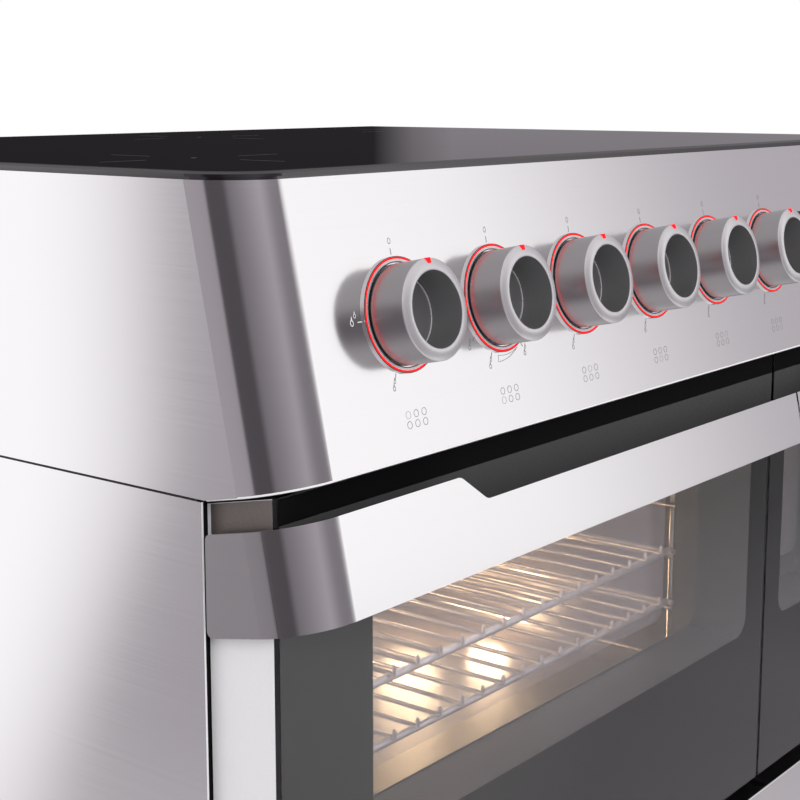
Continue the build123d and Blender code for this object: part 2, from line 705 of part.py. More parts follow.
def hinge_receivers(hinges):
    """Fixed arms from the stepped frame to an eye round each hinge pin."""
    arm = HINGE_EYE - HINGE_WEB / 2
    with BuildPart() as receivers:
        for x in hinges:
            with BuildSketch(Plane.YZ.offset(x - HINGE_ARM / 2)):
                with Locations((Y_HINGE, Z_HINGE)):
                    Circle(HINGE_EYE)
                span(Y_HINGE, Y_STEP, Z_HINGE - arm, Z_HINGE + arm)
                with Locations((Y_HINGE, Z_HINGE)):
                    Circle(HINGE_PIN / 2 + CLEARANCE, mode=Mode.SUBTRACT)
            extrude(amount=HINGE_ARM)
    return receivers.part


def door_pane(x0, x1, z0, z1, radius, y):
    """A glass pane whose rear face is at a given depth."""
    with BuildPart() as pane:
        with BuildSketch(front_plane(y)):
            rounded_span(x0, x1, z0, z1, radius)
        extrude(amount=DOOR_GLASS)
        chamfer(pane.faces().sort_by(Axis.Y)[0].edges(), GLASS_BEVEL)
    return pane.part


BRACKET_INSET = NOTCH_INSET - BRACKET_WIDTH
BAR_SPOTS = {
    "main": (BRACKET_INSET - HALF, X_SPLIT - HINGE_END),
    "side": (X_SPLIT + HINGE_END, HALF - BRACKET_INSET),
}
for name, door in DOORS.items():
    left = -HALF if name == "main" else door["x0"]
    right = door["x1"] if name == "main" else HALF
    window = door["window"]
    keep(door_frame(door["x0"], door["x1"], window, door["hinges"]), f"{name}_door_frame")
    keep(door_hinges(door["hinges"]), f"{name}_door_hinges")
    keep(handle_bar(left, right), f"{name}_handle_bar")
    keep(bar_brackets(BAR_SPOTS[name], -1 if name == "main" else 1), f"{name}_bar_brackets")
    keep(door_pane(door["x0"], door["x1"], Z_DOOR, door_top(Y_GLASS), SHEET, Y_DOOR_FRONT),
         f"{name}_door_outer_glass")
    keep(door_pane(window[0] + PANE_FIT, window[1] - PANE_FIT, Z_WINDOW + PANE_FIT,
                   Z_WINDOW_TOP - PANE_FIT, WINDOW_RADIUS, Y_DOOR_REAR),
         f"{name}_door_inner_glass")

all_hinges = DOORS["main"]["hinges"] + DOORS["side"]["hinges"]
keep(hinge_receivers(all_hinges), "hinge_receivers")

with BuildPart() as door_seals:
    with BuildSketch(front_plane(Y_FRAME)):
        for door in DOORS.values():
            x0, x1 = door["window"]
            grow = CAVITY_OVER + SEAL_WIDTH
            rounded_span(x0 - grow, x1 + grow, Z_CAVITY - SEAL_WIDTH, Z_CAVITY_TOP + SEAL_WIDTH,
                         WINDOW_RADIUS + SEAL_WIDTH)
            rounded_span(x0 - CAVITY_OVER, x1 + CAVITY_OVER, Z_CAVITY, Z_CAVITY_TOP,
                         WINDOW_RADIUS, mode=Mode.SUBTRACT)
    extrude(amount=Y_FRAME - Y_DOOR_REAR - SEAL_GAP)
keep(door_seals.part, "door_seals")


# Enamelled cavities, wire guides and racks

def cavity(window, shaft_hole):
    """A deep rounded box, open to the front, with a rim against the front frame."""
    x0 = window[0] - CAVITY_OVER
    x1 = window[1] + CAVITY_OVER
    with BuildPart() as shell:
        with BuildSketch(front_plane(Y_CAVITY)):
            rounded_span(x0 - SHEET, x1 + SHEET, Z_CAVITY - SHEET, Z_CAVITY_TOP + SHEET,
                         WINDOW_RADIUS + SHEET)
        extrude(amount=-CAVITY_DEPTH)
        with BuildSketch(front_plane(Y_CAVITY)):
            rounded_span(x0 - CAVITY_RIM, x1 + CAVITY_RIM, Z_CAVITY - CAVITY_RIM,
                         Z_CAVITY_TOP + CAVITY_RIM, WINDOW_RADIUS + CAVITY_RIM)
        extrude(amount=-SHEET)
        with BuildSketch(front_plane(Y_CAVITY)):
            rounded_span(x0, x1, Z_CAVITY, Z_CAVITY_TOP, WINDOW_RADIUS)
        extrude(amount=SHEET - CAVITY_DEPTH, mode=Mode.SUBTRACT)
        if shaft_hole:
            with BuildSketch(front_plane(Y_CAVITY_BACK)):
                with Locations((FAN_X, FAN_Z)):
                    Circle(FAN_SHAFT)
            extrude(amount=2 * SHEET, mode=Mode.SUBTRACT)
    return shell.part


def rack_guides(windows):
    """Wire ladders on the cavity walls: two uprights, level rails and wall studs."""
    top = Z_CAVITY + LEVEL_FIRST + LEVEL_PITCH * (LEVEL_COUNT - 1)
    rail_start = Y_CAVITY + RACK_FRONT
    uprights = (rail_start + GUIDE_END, rail_start + RACK_DEPTH - GUIDE_END)
    levels = [Z_CAVITY + LEVEL_FIRST + LEVEL_PITCH * i for i in range(LEVEL_COUNT)]
    with BuildPart() as guides:
        for window in windows:
            walls = (window[0] - CAVITY_OVER, window[1] + CAVITY_OVER)
            for wall, inward in zip(walls, (1, -1)):
                x = wall + inward * GUIDE_STAND
                with BuildSketch(front_plane(rail_start)):
                    with Locations(*[(x, z) for z in levels]):
                        Circle(GUIDE_WIRE / 2)
                extrude(amount=-RACK_DEPTH)
                with BuildSketch(Plane.XY.offset(levels[0] - GUIDE_FOOT)):
                    with Locations(*[(x - inward * (GUIDE_WIRE - WELD_SINK), y) for y in uprights]):
                        Circle(GUIDE_WIRE / 2)
                extrude(amount=top - levels[0] + 2 * GUIDE_FOOT)
                with BuildSketch(Plane.YZ.offset(wall)):
                    with Locations(*[(y, z) for y in uprights for z in (levels[0], levels[-1])]):
                        Circle(GUIDE_WIRE / 2)
                extrude(amount=inward * GUIDE_STAND)
    return guides.part


def wire_rack(window, level):
    """A rack of front-to-back wires on a frame of rods, lying on the guides' rails."""
    x0 = window[0] - CAVITY_OVER + GUIDE_STAND + RACK_PLAY
    x1 = window[1] + CAVITY_OVER - GUIDE_STAND - RACK_PLAY
    y0 = Y_CAVITY + RACK_FRONT
    side_rod = GUIDE_WIRE
    z = Z_CAVITY + LEVEL_FIRST + LEVEL_PITCH * level + GUIDE_WIRE / 2 + side_rod / 2
    rod_z = z + (RACK_ROD - side_rod) / 2
    wire_z = rod_z + RACK_ROD / 2 + RACK_WIRE / 2 - WIRE_SINK
    count = int((x1 - x0 - 2 * RACK_ROD) / RACK_PITCH)
    with BuildPart() as rack:
        with BuildSketch(front_plane(y0)):
            with Locations((x0, z), (x1, z)):
                Circle(side_rod / 2)
        extrude(amount=-RACK_DEPTH)
        with BuildSketch(Plane.YZ.offset(x0)):
            with Locations((y0 + RACK_ROD, rod_z), (y0 + RACK_DEPTH - RACK_ROD, rod_z)):
                Circle(RACK_ROD / 2)
        extrude(amount=x1 - x0)
        with BuildSketch(front_plane(y0)):
            with Locations(((x0 + x1) / 2, wire_z)):
                with GridLocations(RACK_PITCH, 1, count, 1):
                    Circle(RACK_WIRE / 2)
        extrude(amount=-RACK_DEPTH)
    return rack.part


MAIN_WINDOW = DOORS["main"]["window"]
SIDE_WINDOW = DOORS["side"]["window"]
FAN_X = sum(MAIN_WINDOW) / 2
FAN_Z = (Z_CAVITY + Z_CAVITY_TOP) / 2
BAFFLE_WIDTH = MAIN_WINDOW[1] - MAIN_WINDOW[0] + 2 * CAVITY_OVER - 2 * BAFFLE_SIDE_GAP
BAFFLE_HEIGHT = CAVITY_RISE * BAFFLE_SHARE
RING_DIAMETER = CAVITY_RISE * RING_SHARE
FAN_DIAMETER = CAVITY_RISE * FAN_SHARE
FAN_HUB = FAN_DIAMETER * HUB_SHARE
BAFFLE_SLOT = FAN_DIAMETER * SLOT_SHARE
keep(cavity(MAIN_WINDOW, True), "main_oven_cavity")
keep(cavity(SIDE_WINDOW, False), "side_oven_cavity")
keep(rack_guides((MAIN_WINDOW, SIDE_WINDOW)), "rack_guides")
keep(wire_rack(MAIN_WINDOW, 2), "main_rack_upper")
keep(wire_rack(MAIN_WINDOW, 1), "main_rack_lower")
keep(wire_rack(SIDE_WINDOW, 1), "side_rack")

# Convection fan behind its baffle, with motor and ring heater

Y_BAFFLE = Y_CAVITY_BACK - SHEET - BAFFLE_DEPTH

with BuildPart() as fan_baffle:
    with BuildSketch(front_plane(Y_BAFFLE)):
        with Locations((FAN_X, FAN_Z)):
            RectangleRounded(BAFFLE_WIDTH, BAFFLE_HEIGHT, BAFFLE_RADIUS)
    extrude(amount=-BAFFLE_DEPTH)
    with BuildSketch(front_plane(Y_BAFFLE + SHEET)):
        with Locations((FAN_X, FAN_Z)):
            RectangleRounded(BAFFLE_WIDTH - 2 * SHEET, BAFFLE_HEIGHT - 2 * SHEET,
                             BAFFLE_RADIUS - SHEET)
    extrude(amount=-BAFFLE_DEPTH, mode=Mode.SUBTRACT)
    with BuildSketch(front_plane(Y_BAFFLE)):
        with Locations((FAN_X, FAN_Z)):
            with PolarLocations(FAN_DIAMETER / 4 + FAN_HUB / 4, BAFFLE_SLOTS):
                SlotOverall(BAFFLE_SLOT, FAN_SHAFT / 2)
    extrude(amount=-SHEET, mode=Mode.SUBTRACT)
keep(fan_baffle.part, "fan_baffle")

with BuildPart() as convection_fan:
    fan_y = Y_BAFFLE + SHEET + FAN_OFFSET
    with BuildSketch(front_plane(fan_y)):
        with Locations((FAN_X, FAN_Z)):
            Circle(FAN_DIAMETER / 2 - FAN_BLADE)
    extrude(amount=-FAN_BLADE)
    with BuildSketch(front_plane(fan_y)):
        with Locations((FAN_X, FAN_Z)):
            with PolarLocations(FAN_DIAMETER / 4 + FAN_HUB / 4, FAN_BLADES):
                Rectangle(FAN_DIAMETER / 2 - FAN_HUB, FAN_BLADE)
    extrude(amount=FAN_OFFSET - FAN_BLADE)
    with BuildSketch(front_plane(fan_y - FAN_BLADE)):
        with Locations((FAN_X, FAN_Z)):
            Circle(FAN_HUB / 2)
    extrude(amount=-FAN_DEPTH)
    with BuildSketch(front_plane(fan_y)):
        with Locations((FAN_X, FAN_Z)):
            Circle(FAN_SHAFT / 2)
    extrude(amount=-BAFFLE_DEPTH - MOTOR_LENGTH / 2)
keep(convection_fan.part, "convection_fan")

with BuildPart() as fan_motor:
    with BuildSketch(front_plane(Y_CAVITY_BACK)):
        with Locations((FAN_X, FAN_Z)):
            Circle(MOTOR_DIAMETER / 2)
    extrude(amount=-MOTOR_LENGTH)
    with BuildSketch(front_plane(Y_CAVITY_BACK)):
        with Locations((FAN_X, FAN_Z)):
            Circle(FAN_SHAFT / 2 + CLEARANCE)
    extrude(amount=-MOTOR_LENGTH, mode=Mode.SUBTRACT)
keep(fan_motor.part, "fan_motor")

with BuildPart() as ring_heater:
    ring_y = Y_CAVITY_BACK - SHEET - BAFFLE_DEPTH / 2
    ring_r = RING_DIAMETER / 2
    with BuildSketch(Plane(origin=(FAN_X, ring_y, FAN_Z), x_dir=(1, 0, 0), z_dir=(0, 0, 1))):
        with Locations((ring_r, 0)):
            Circle(HEATER_TUBE / 2)
    revolve(axis=Axis((FAN_X, ring_y, FAN_Z), (0, 1, 0)))
    with BuildSketch(front_plane(Y_CAVITY_BACK - SHEET)):
        with Locations((FAN_X - ring_r, FAN_Z), (FAN_X + ring_r, FAN_Z)):
            Circle(HEATER_TUBE / 2 - WELD_SINK)
    extrude(amount=BAFFLE_DEPTH / 2)
keep(ring_heater.part, "ring_heater")

with BuildPart() as grill_heater:
    grill_z = Z_CAVITY_TOP - GRILL_DROP
    lane = (MAIN_WINDOW[1] - MAIN_WINDOW[0] - 2 * GRILL_INSET) / (2 * GRILL_LANES - 1)
    grill_back = Y_CAVITY_BACK - SHEET
    near = Y_CAVITY + GRILL_INSET
    far = grill_back - GRILL_INSET
    points = []
    for i in range(2 * GRILL_LANES):
        lane_x = MAIN_WINDOW[0] + GRILL_INSET + lane * i
        start = grill_back if i == 0 else far
        end = grill_back if i == 2 * GRILL_LANES - 1 else far
        points += [(lane_x, start), (lane_x, near)] if i % 2 == 0 else [(lane_x, near), (lane_x, end)]
    with BuildLine(Plane.XY.offset(grill_z)) as grill_path:
        FilletPolyline(*points, radius=lane * GRILL_BEND)
    with BuildSketch(Plane(origin=(points[0][0], grill_back, grill_z), z_dir=(0, -1, 0))):
        Circle(HEATER_TUBE / 2)
    sweep(path=grill_path.wire())
keep(grill_heater.part, "grill_heater")

with BuildPart() as oven_lamps:
    lamp_z = Z_CAVITY_TOP - LAMP_RISE
    lamp_y = Y_CAVITY_BACK - LAMP_BACK
    walls = (
        (MAIN_WINDOW[0] - CAVITY_OVER, 1),
        (MAIN_WINDOW[1] + CAVITY_OVER, -1),
        (SIDE_WINDOW[1] + CAVITY_OVER, -1),
    )
    for wall, inward in walls:
        with BuildSketch(Plane.YZ.offset(wall)):
            with Locations((lamp_y, lamp_z)):
                Circle(LAMP_DIAMETER / 2)
        extrude(amount=inward * LAMP_HEIGHT / 2, taper=LAMP_TAPER)
keep(oven_lamps.part, "oven_lamps")

# Storage drawer on captured slides

DRAWER_X = HALF - DOOR_SIDE_INSET

with BuildPart() as drawer_front:
    with BuildSketch(front_plane(Y_DOOR_REAR)):
        span(-DRAWER_X, DRAWER_X, Z_DRAWER, Z_DRAWER_TOP)
    extrude(amount=Y_DOOR_REAR - Y_GLASS)
    front_edges = drawer_front.edges().filter_by(Axis.Z).group_by(Axis.Y)[0]
    fillet(front_edges, DRAWER_SKIN)
    fillet(drawer_front.faces().sort_by(Axis.Y)[0].edges().filter_by(Axis.X), DRAWER_EDGE)
    with BuildSketch(front_plane(Y_DOOR_REAR - SHEET)):
        span(SHEET - DRAWER_X, DRAWER_X - SHEET, Z_DRAWER + SHEET, Z_DRAWER_TOP - SHEET)
    extrude(amount=Y_DOOR_REAR - Y_GLASS - DRAWER_SKIN - SHEET, mode=Mode.SUBTRACT)
    with BuildSketch(front_plane(Y_DOOR_REAR)):
        span(FLANGE - DRAWER_X, DRAWER_X - FLANGE, Z_DRAWER + FLANGE, Z_DRAWER_TOP - FLANGE)
    extrude(amount=Y_DOOR_REAR - Y_GLASS - DRAWER_SKIN, mode=Mode.SUBTRACT)
keep(drawer_front.part, "drawer_front")

BOX_X = HALF - DRAWER_SIDE_ROOM
Z_BOX = Z_DRAWER + DRAWER_RIM

with BuildPart() as drawer_box:
    with BuildSketch(Plane.XY.offset(Z_BOX)):
        span(-BOX_X, BOX_X, Y_DOOR_REAR, Y_DOOR_REAR + DRAWER_LENGTH)
    extrude(amount=DRAWER_HEIGHT - 2 * DRAWER_RIM)
    with BuildSketch(Plane.XY.offset(Z_BOX + SHEET)):
        span(SHEET - BOX_X, BOX_X - SHEET, Y_DOOR_REAR + SHEET,
             Y_DOOR_REAR + DRAWER_LENGTH - SHEET)
    extrude(amount=DRAWER_HEIGHT, mode=Mode.SUBTRACT)
    with BuildSketch(Plane.XY.offset(Z_DRAWER_TOP - DRAWER_WALL_DROP)):
        span(-BOX_X, BOX_X, Y_DOOR_REAR + SHEET, Y_DOOR_REAR + DRAWER_LENGTH)
    extrude(amount=DRAWER_HEIGHT, mode=Mode.SUBTRACT)
keep(drawer_box.part, "drawer_box")

RUNNER_X = HALF - SHEET
Z_RUNNER = LEG_HEIGHT + RUNNER_RISE
MOUTH_X = RUNNER_X - RUNNER_WIDTH
GROOVE_X = RUNNER_X - RUNNER_WALL
GROOVE_HALF = RUNNER_HEIGHT / 2 - RUNNER_WALL

with BuildPart() as drawer_runners:
    with BuildSketch(front_plane(Y_BODY + RUNNER_START)):
        for side in (-1, 1):
            edges = sorted((side * MOUTH_X, side * RUNNER_X))
            groove = sorted((side * (MOUTH_X + RUNNER_LIP), side * GROOVE_X))
            mouth = sorted((side * MOUTH_X, side * (MOUTH_X + RUNNER_LIP)))
            span(*edges, Z_RUNNER - RUNNER_HEIGHT / 2, Z_RUNNER + RUNNER_HEIGHT / 2)
            span(*groove, Z_RUNNER - GROOVE_HALF, Z_RUNNER + GROOVE_HALF, mode=Mode.SUBTRACT)
            span(*mouth, Z_RUNNER - RUNNER_MOUTH / 2, Z_RUNNER + RUNNER_MOUTH / 2,
                 mode=Mode.SUBTRACT)
    extrude(amount=-RUNNER_LENGTH)
keep(drawer_runners.part, "drawer_runners")

with BuildPart() as drawer_slides:
    with BuildSketch(front_plane(Y_BODY + RUNNER_START)):
        for side in (-1, 1):
            head = sorted((side * (MOUTH_X + RUNNER_LIP + CLEARANCE), side * (GROOVE_X - CLEARANCE)))
            web = sorted((side * BOX_X, side * (GROOVE_X - CLEARANCE)))
            span(*head, Z_RUNNER - GROOVE_HALF + CLEARANCE, Z_RUNNER + GROOVE_HALF - CLEARANCE)
            span(*web, Z_RUNNER - RUNNER_WEB / 2, Z_RUNNER + RUNNER_WEB / 2)
    extrude(amount=RUNNER_START - RUNNER_LENGTH)
keep(drawer_slides.part, "drawer_slides")

# Legs: fixed sleeves under the base pan and a levelling foot in each

with BuildPart() as leg_sleeves:
    with BuildSketch(Plane.XY.offset(LEG_HEIGHT)):
        with Locations(*LEG_SPOTS):
            Circle(LEG_TUBE / 2)
            Circle(LEG_TUBE / 2 - LEG_WALL, mode=Mode.SUBTRACT)
    extrude(amount=-LEG_SLEEVE)
keep(leg_sleeves.part, "leg_sleeves")

FOOT_NAMES = ("front_left", "front_right", "rear_left", "rear_right")
for place, spot in zip(FOOT_NAMES, LEG_SPOTS):
    with BuildPart() as foot:
        with BuildSketch(Plane.XY):
            with Locations(spot):
                Circle(FOOT_PAD / 2)
        extrude(amount=FOOT_PAD_HEIGHT)
        fillet(foot.edges().group_by(Axis.Z)[-1], FOOT_PAD_HEIGHT / 3)
        with BuildSketch(Plane.XY.offset(FOOT_PAD_HEIGHT)):
            with Locations(spot):
                Circle(LEG_TUBE / 2 - LEG_WALL - CLEARANCE)
        extrude(amount=LEG_HEIGHT - FOOT_PAD_HEIGHT - CLEARANCE)
    keep(foot.part, f"foot_{place}")

# Supply terminal box and its cable gland on the back

Z_TERMINAL = LEG_HEIGHT + TERMINAL_RISE

with BuildPart() as terminal_box:
    with BuildSketch(front_plane(Y_REAR)):
        rounded_span(-TERMINAL_WIDTH / 2, TERMINAL_WIDTH / 2, Z_TERMINAL,
                     Z_TERMINAL + TERMINAL_HEIGHT, TRIM_WIDTH)
    extrude(amount=-TERMINAL_DEPTH)
    fillet(terminal_box.faces().sort_by(Axis.Y)[-1].edges(), TRIM_HEIGHT)
keep(terminal_box.part, "terminal_box")

with BuildPart() as cable_gland:
    with BuildSketch(Plane.XY.offset(Z_TERMINAL)):
        with Locations((0, Y_REAR + TERMINAL_DEPTH / 2)):
            RegularPolygon(GLAND_DIAMETER / 2, GLAND_SIDES)
            Circle(GLAND_BORE / 2, mode=Mode.SUBTRACT)
    extrude(amount=-GLAND_LENGTH)
keep(cable_gland.part, "cable_gland")
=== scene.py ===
import math

import bmesh
import bpy
from mathutils import Euler, Matrix, Vector


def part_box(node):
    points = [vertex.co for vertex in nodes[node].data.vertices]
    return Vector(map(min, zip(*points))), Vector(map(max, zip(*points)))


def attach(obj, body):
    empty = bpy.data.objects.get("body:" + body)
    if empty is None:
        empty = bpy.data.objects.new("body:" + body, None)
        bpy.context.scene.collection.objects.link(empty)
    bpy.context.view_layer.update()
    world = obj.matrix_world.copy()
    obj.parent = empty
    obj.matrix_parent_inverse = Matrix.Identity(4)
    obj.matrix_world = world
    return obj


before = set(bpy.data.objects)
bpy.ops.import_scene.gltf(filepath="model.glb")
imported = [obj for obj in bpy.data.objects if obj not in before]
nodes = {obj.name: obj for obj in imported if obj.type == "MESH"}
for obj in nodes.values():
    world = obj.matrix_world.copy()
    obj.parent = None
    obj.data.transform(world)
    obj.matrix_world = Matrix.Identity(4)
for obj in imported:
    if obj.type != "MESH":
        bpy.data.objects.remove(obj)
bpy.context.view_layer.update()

# Sizes and places on the cooker, in metres
TILT = math.radians(12.0)
SLOPE = Vector((0, math.sin(TILT), math.cos(TILT)))
OUTWARD = Vector((0, -math.cos(TILT), math.sin(TILT)))
PANEL_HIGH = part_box("control_panel")[1]
PANEL_HEIGHT = 0.174
CORNER_RADIUS = 0.039
HOB_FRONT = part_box("hob_trim")[0].y
PANEL_FOOT = Vector((0, HOB_FRONT, PANEL_HIGH.z)) - SLOPE * PANEL_HEIGHT
KNOB_COUNT = 6
KNOB_RISE = 0.0867
KNOB_X = [sum(c.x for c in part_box(f"knob_{i}")) / 2 for i in range(1, KNOB_COUNT + 1)]
KNOB_FRONT = 0.0267
KNOB_CROWN = 0.0019
KNOB_RADIUS = 0.03125
KNOB_BORE = 0.02375
KNOB_FLOOR = 0.005
BEZEL_TOP = 0.0016
LED_OUTER = 0.0353
PRINT = 0.00006
RACKS = ("main_rack_upper", "main_rack_lower", "side_rack")


def on_panel(x, rise, proud=0.0):
    """Turns a flat sketch (x right, y up) to lie on the slanted panel."""
    place = PANEL_FOOT + SLOPE * rise + OUTWARD * proud
    turn = Matrix((Vector((1, 0, 0)), SLOPE, OUTWARD)).transposed().to_4x4()
    return Matrix.Translation((x, place.y, place.z)) @ turn


def facing_front(x, y, z):
    """Turns a flat sketch to stand upright and face the front."""
    return Matrix.Translation((x, y, z)) @ Matrix.Rotation(math.pi / 2, 4, "X")


def facing_back(x, y, z):
    """Turns a flat sketch to stand upright and face the back."""
    about = Matrix.Rotation(math.pi, 4, "Z")
    return Matrix.Translation((x, y, z)) @ about @ Matrix.Rotation(math.pi / 2, 4, "X")


# Shader building
def math_node(tree, operation, first, second=0.0):
    """A sum on two sides, each a link or a plain number."""
    made = tree.nodes.new("ShaderNodeMath")
    made.operation = operation
    for socket, value in zip(made.inputs, (first, second)):
        if isinstance(value, float):
            socket.default_value = value
        else:
            tree.links.new(value, socket)
    return made.outputs["Value"]


def remapped(tree, source, start, end, low=0.0, high=1.0):
    """Maps a stretch of a pattern onto the stretch between two values."""
    made = tree.nodes.new("ShaderNodeMapRange")
    made.inputs["From Min"].default_value = start
    made.inputs["From Max"].default_value = end
    made.inputs["To Min"].default_value = low
    made.inputs["To Max"].default_value = high
    tree.links.new(source, made.inputs["Value"])
    return made.outputs["Result"]


def blended(tree, share, first, second):
    """Two colours, each a link or plain, blended by a share."""
    made = tree.nodes.new("ShaderNodeMixRGB")
    tree.links.new(share, made.inputs["Fac"])
    for socket, colour in ((made.inputs["Color1"], first), (made.inputs["Color2"], second)):
        if isinstance(colour, tuple):
            socket.default_value = colour
        else:
            tree.links.new(colour, socket)
    return made.outputs["Color"]


PATTERN_LOW = 0.3
PATTERN_HIGH = 0.7


def spread(tree, source, low, high):
    """Maps a pattern's middle range onto two values."""
    return remapped(tree, source, PATTERN_LOW, PATTERN_HIGH, low, high)


def tint(tree, source, dark, light):
    """Maps a pattern's middle range onto two colours."""
    ramp = tree.nodes.new("ShaderNodeValToRGB")
    first, last = ramp.color_ramp.elements
    first.position = PATTERN_LOW
    first.color = (*dark, 1)
    last.position = PATTERN_HIGH
    last.color = (*light, 1)
    tree.links.new(source, ramp.inputs["Fac"])
    return ramp.outputs["Color"]


def grain(tree, scale, detail=5.0, rough=0.6):
    """A noise pattern on the piece, stretched by its scale."""
    coords = tree.nodes.new("ShaderNodeTexCoord")
    mapping = tree.nodes.new("ShaderNodeMapping")
    mapping.inputs["Scale"].default_value = scale
    noise = tree.nodes.new("ShaderNodeTexNoise")
    noise.inputs["Scale"].default_value = 1.0
    noise.inputs["Detail"].default_value = detail
    noise.inputs["Roughness"].default_value = rough
    tree.links.new(coords.outputs["Object"], mapping.inputs["Vector"])
    tree.links.new(mapping.outputs["Vector"], noise.inputs["Vector"])
    return noise.outputs["Fac"]


# Kinds of finish
def finish_base(name):
    material = bpy.data.materials.new(name)
    material.use_nodes = True
    tree = material.node_tree
    return material, tree, tree.nodes["Principled BSDF"]


def shaded(colour, share):
    return tuple(min(c * share, 1.0) for c in colour)


def brushed_steel(name, colour, rough, scale, anisotropy=0.6):
    """Steel with fine lines along the brushing."""
    material, tree, shader = finish_base(name)
    noise = grain(tree, scale)
    tree.links.new(spread(tree, noise, rough * 0.94, rough * 1.06), shader.inputs["Roughness"])
    tone = tint(tree, noise, shaded(colour, 0.985), shaded(colour, 1.015))
    tree.links.new(tone, shader.inputs["Base Color"])
    shader.inputs["Metallic"].default_value = 1.0
    shader.inputs["Anisotropic"].default_value = anisotropy
    shader.inputs["Anisotropic Rotation"].default_value = 0.25
    return material


def speckled(name, dark, light, rough, scale, metallic=0.0, coat=0.0, relief=0.0, vary=0.15):
    """Enamel, moulded plastic and coated sheet: a fine even speckle."""
    material, tree, shader = finish_base(name)
    noise = grain(tree, (scale, scale, scale), detail=3.0, rough=0.55)
    tree.links.new(tint(tree, noise, dark, light), shader.inputs["Base Color"])
    gloss = spread(tree, noise, rough * (1 - vary), rough * (1 + vary))
    tree.links.new(gloss, shader.inputs["Roughness"])
    shader.inputs["Metallic"].default_value = metallic
    shader.inputs["Coat Weight"].default_value = coat
    shader.inputs["Coat Roughness"].default_value = 0.06
    if relief:
        bump = tree.nodes.new("ShaderNodeBump")
        bump.inputs["Strength"].default_value = relief
        bump.inputs["Distance"].default_value = 0.0003
        tree.links.new(noise, bump.inputs["Height"])
        tree.links.new(bump.outputs["Normal"], shader.inputs["Normal"])
    return material


def dull(material):
    """Takes nearly all the sheen off a finish."""
    shader = material.node_tree.nodes["Principled BSDF"]
    shader.inputs["Specular IOR Level"].default_value = 0.08
    return material


def clear_glass(name, colour):
    material, tree, shader = finish_base(name)
    noise = grain(tree, (6, 6, 6), detail=2.0)
    tree.links.new(tint(tree, noise, shaded(colour, 0.98), colour), shader.inputs["Base Color"])
    shader.inputs["Roughness"].default_value = 0.0
    shader.inputs["Transmission Weight"].default_value = 1.0
    shader.inputs["IOR"].default_value = 1.45
    return material


def glowing(name, colour, strength):
    material, tree, shader = finish_base(name)
    noise = grain(tree, (40, 40, 40), detail=1.0)
    tree.links.new(tint(tree, noise, shaded(colour, 0.9), colour), shader.inputs["Emission Color"])
    shader.inputs["Base Color"].default_value = (*colour, 1)
    shader.inputs["Emission Strength"].default_value = strength
    shader.inputs["Roughness"].default_value = 0.6
    shader.inputs["Specular IOR Level"].default_value = 0.1
    return material


def hem_painted_light(name, inside, edge, start, end):
    """A folded sheet edge with painted light: a painted highlight along its outer side, painted shade where
    it turns in.
    """
    material, tree, shader = finish_base(name)
    coords = tree.nodes.new("ShaderNodeTexCoord")
    parts = tree.nodes.new("ShaderNodeSeparateXYZ")
    tree.links.new(coords.outputs["Object"], parts.inputs["Vector"])
    away = math_node(tree, "ABSOLUTE", parts.outputs["X"])
    step = remapped(tree, away, start, end)
    tree.links.new(tint(tree, step, inside, edge), shader.inputs["Base Color"])
    shader.inputs["Roughness"].default_value = 0.5
    shader.inputs["Specular IOR Level"].default_value = 0.2
    return material


def veil(name, colour, alpha, rough):
    """A faint coating that scatters some light and lets the rest through."""
    material, tree, shader = finish_base(name)
    noise = grain(tree, (9, 9, 9), detail=2.0)
    tree.links.new(tint(tree, noise, shaded(colour, 0.95), colour), shader.inputs["Base Color"])
    shader.inputs["Roughness"].default_value = rough
    shader.inputs["Alpha"].default_value = alpha
    return material


# Steel
SHEET_GRAIN = (1.2, 1.2, 2600)
CASING_STEEL = brushed_steel("casing_steel", (0.90, 0.885, 0.895), 0.15, SHEET_GRAIN)
BAR_STEEL = brushed_steel("bar_steel", (0.91, 0.895, 0.905), 0.15, SHEET_GRAIN)
# Painted shade: the bar's steel darkened on its side-facing end faces
BAR_END_PAINTED_SHADE = brushed_steel("bar_end_painted_shade", (0.62, 0.607, 0.614), 0.15, SHEET_GRAIN)
TRIM_STEEL = brushed_steel("trim_dark_steel", (0.13, 0.124, 0.128), 0.22, (3, 3, 1500))
KNOB_SIDE = brushed_steel("knob_side_steel", (0.52, 0.51, 0.52), 0.34, (40, 40, 40), 0.3)
LEG_STEEL = brushed_steel("leg_steel", (0.66, 0.65, 0.65), 0.3, (4, 4, 1500))
# Painted highlight and painted shade on the side panels' front hems
HEM_PAINTED_LIGHT = hem_painted_light("hem_painted_highlight_and_shade", (0.012, 0.012, 0.013), (0.80, 0.79, 0.80), 0.4446, 0.4456)
DOOR_STEEL = speckled("door_side_satin", (0.82, 0.805, 0.82), (0.85, 0.835, 0.85), 0.42, 900, metallic=0.1)
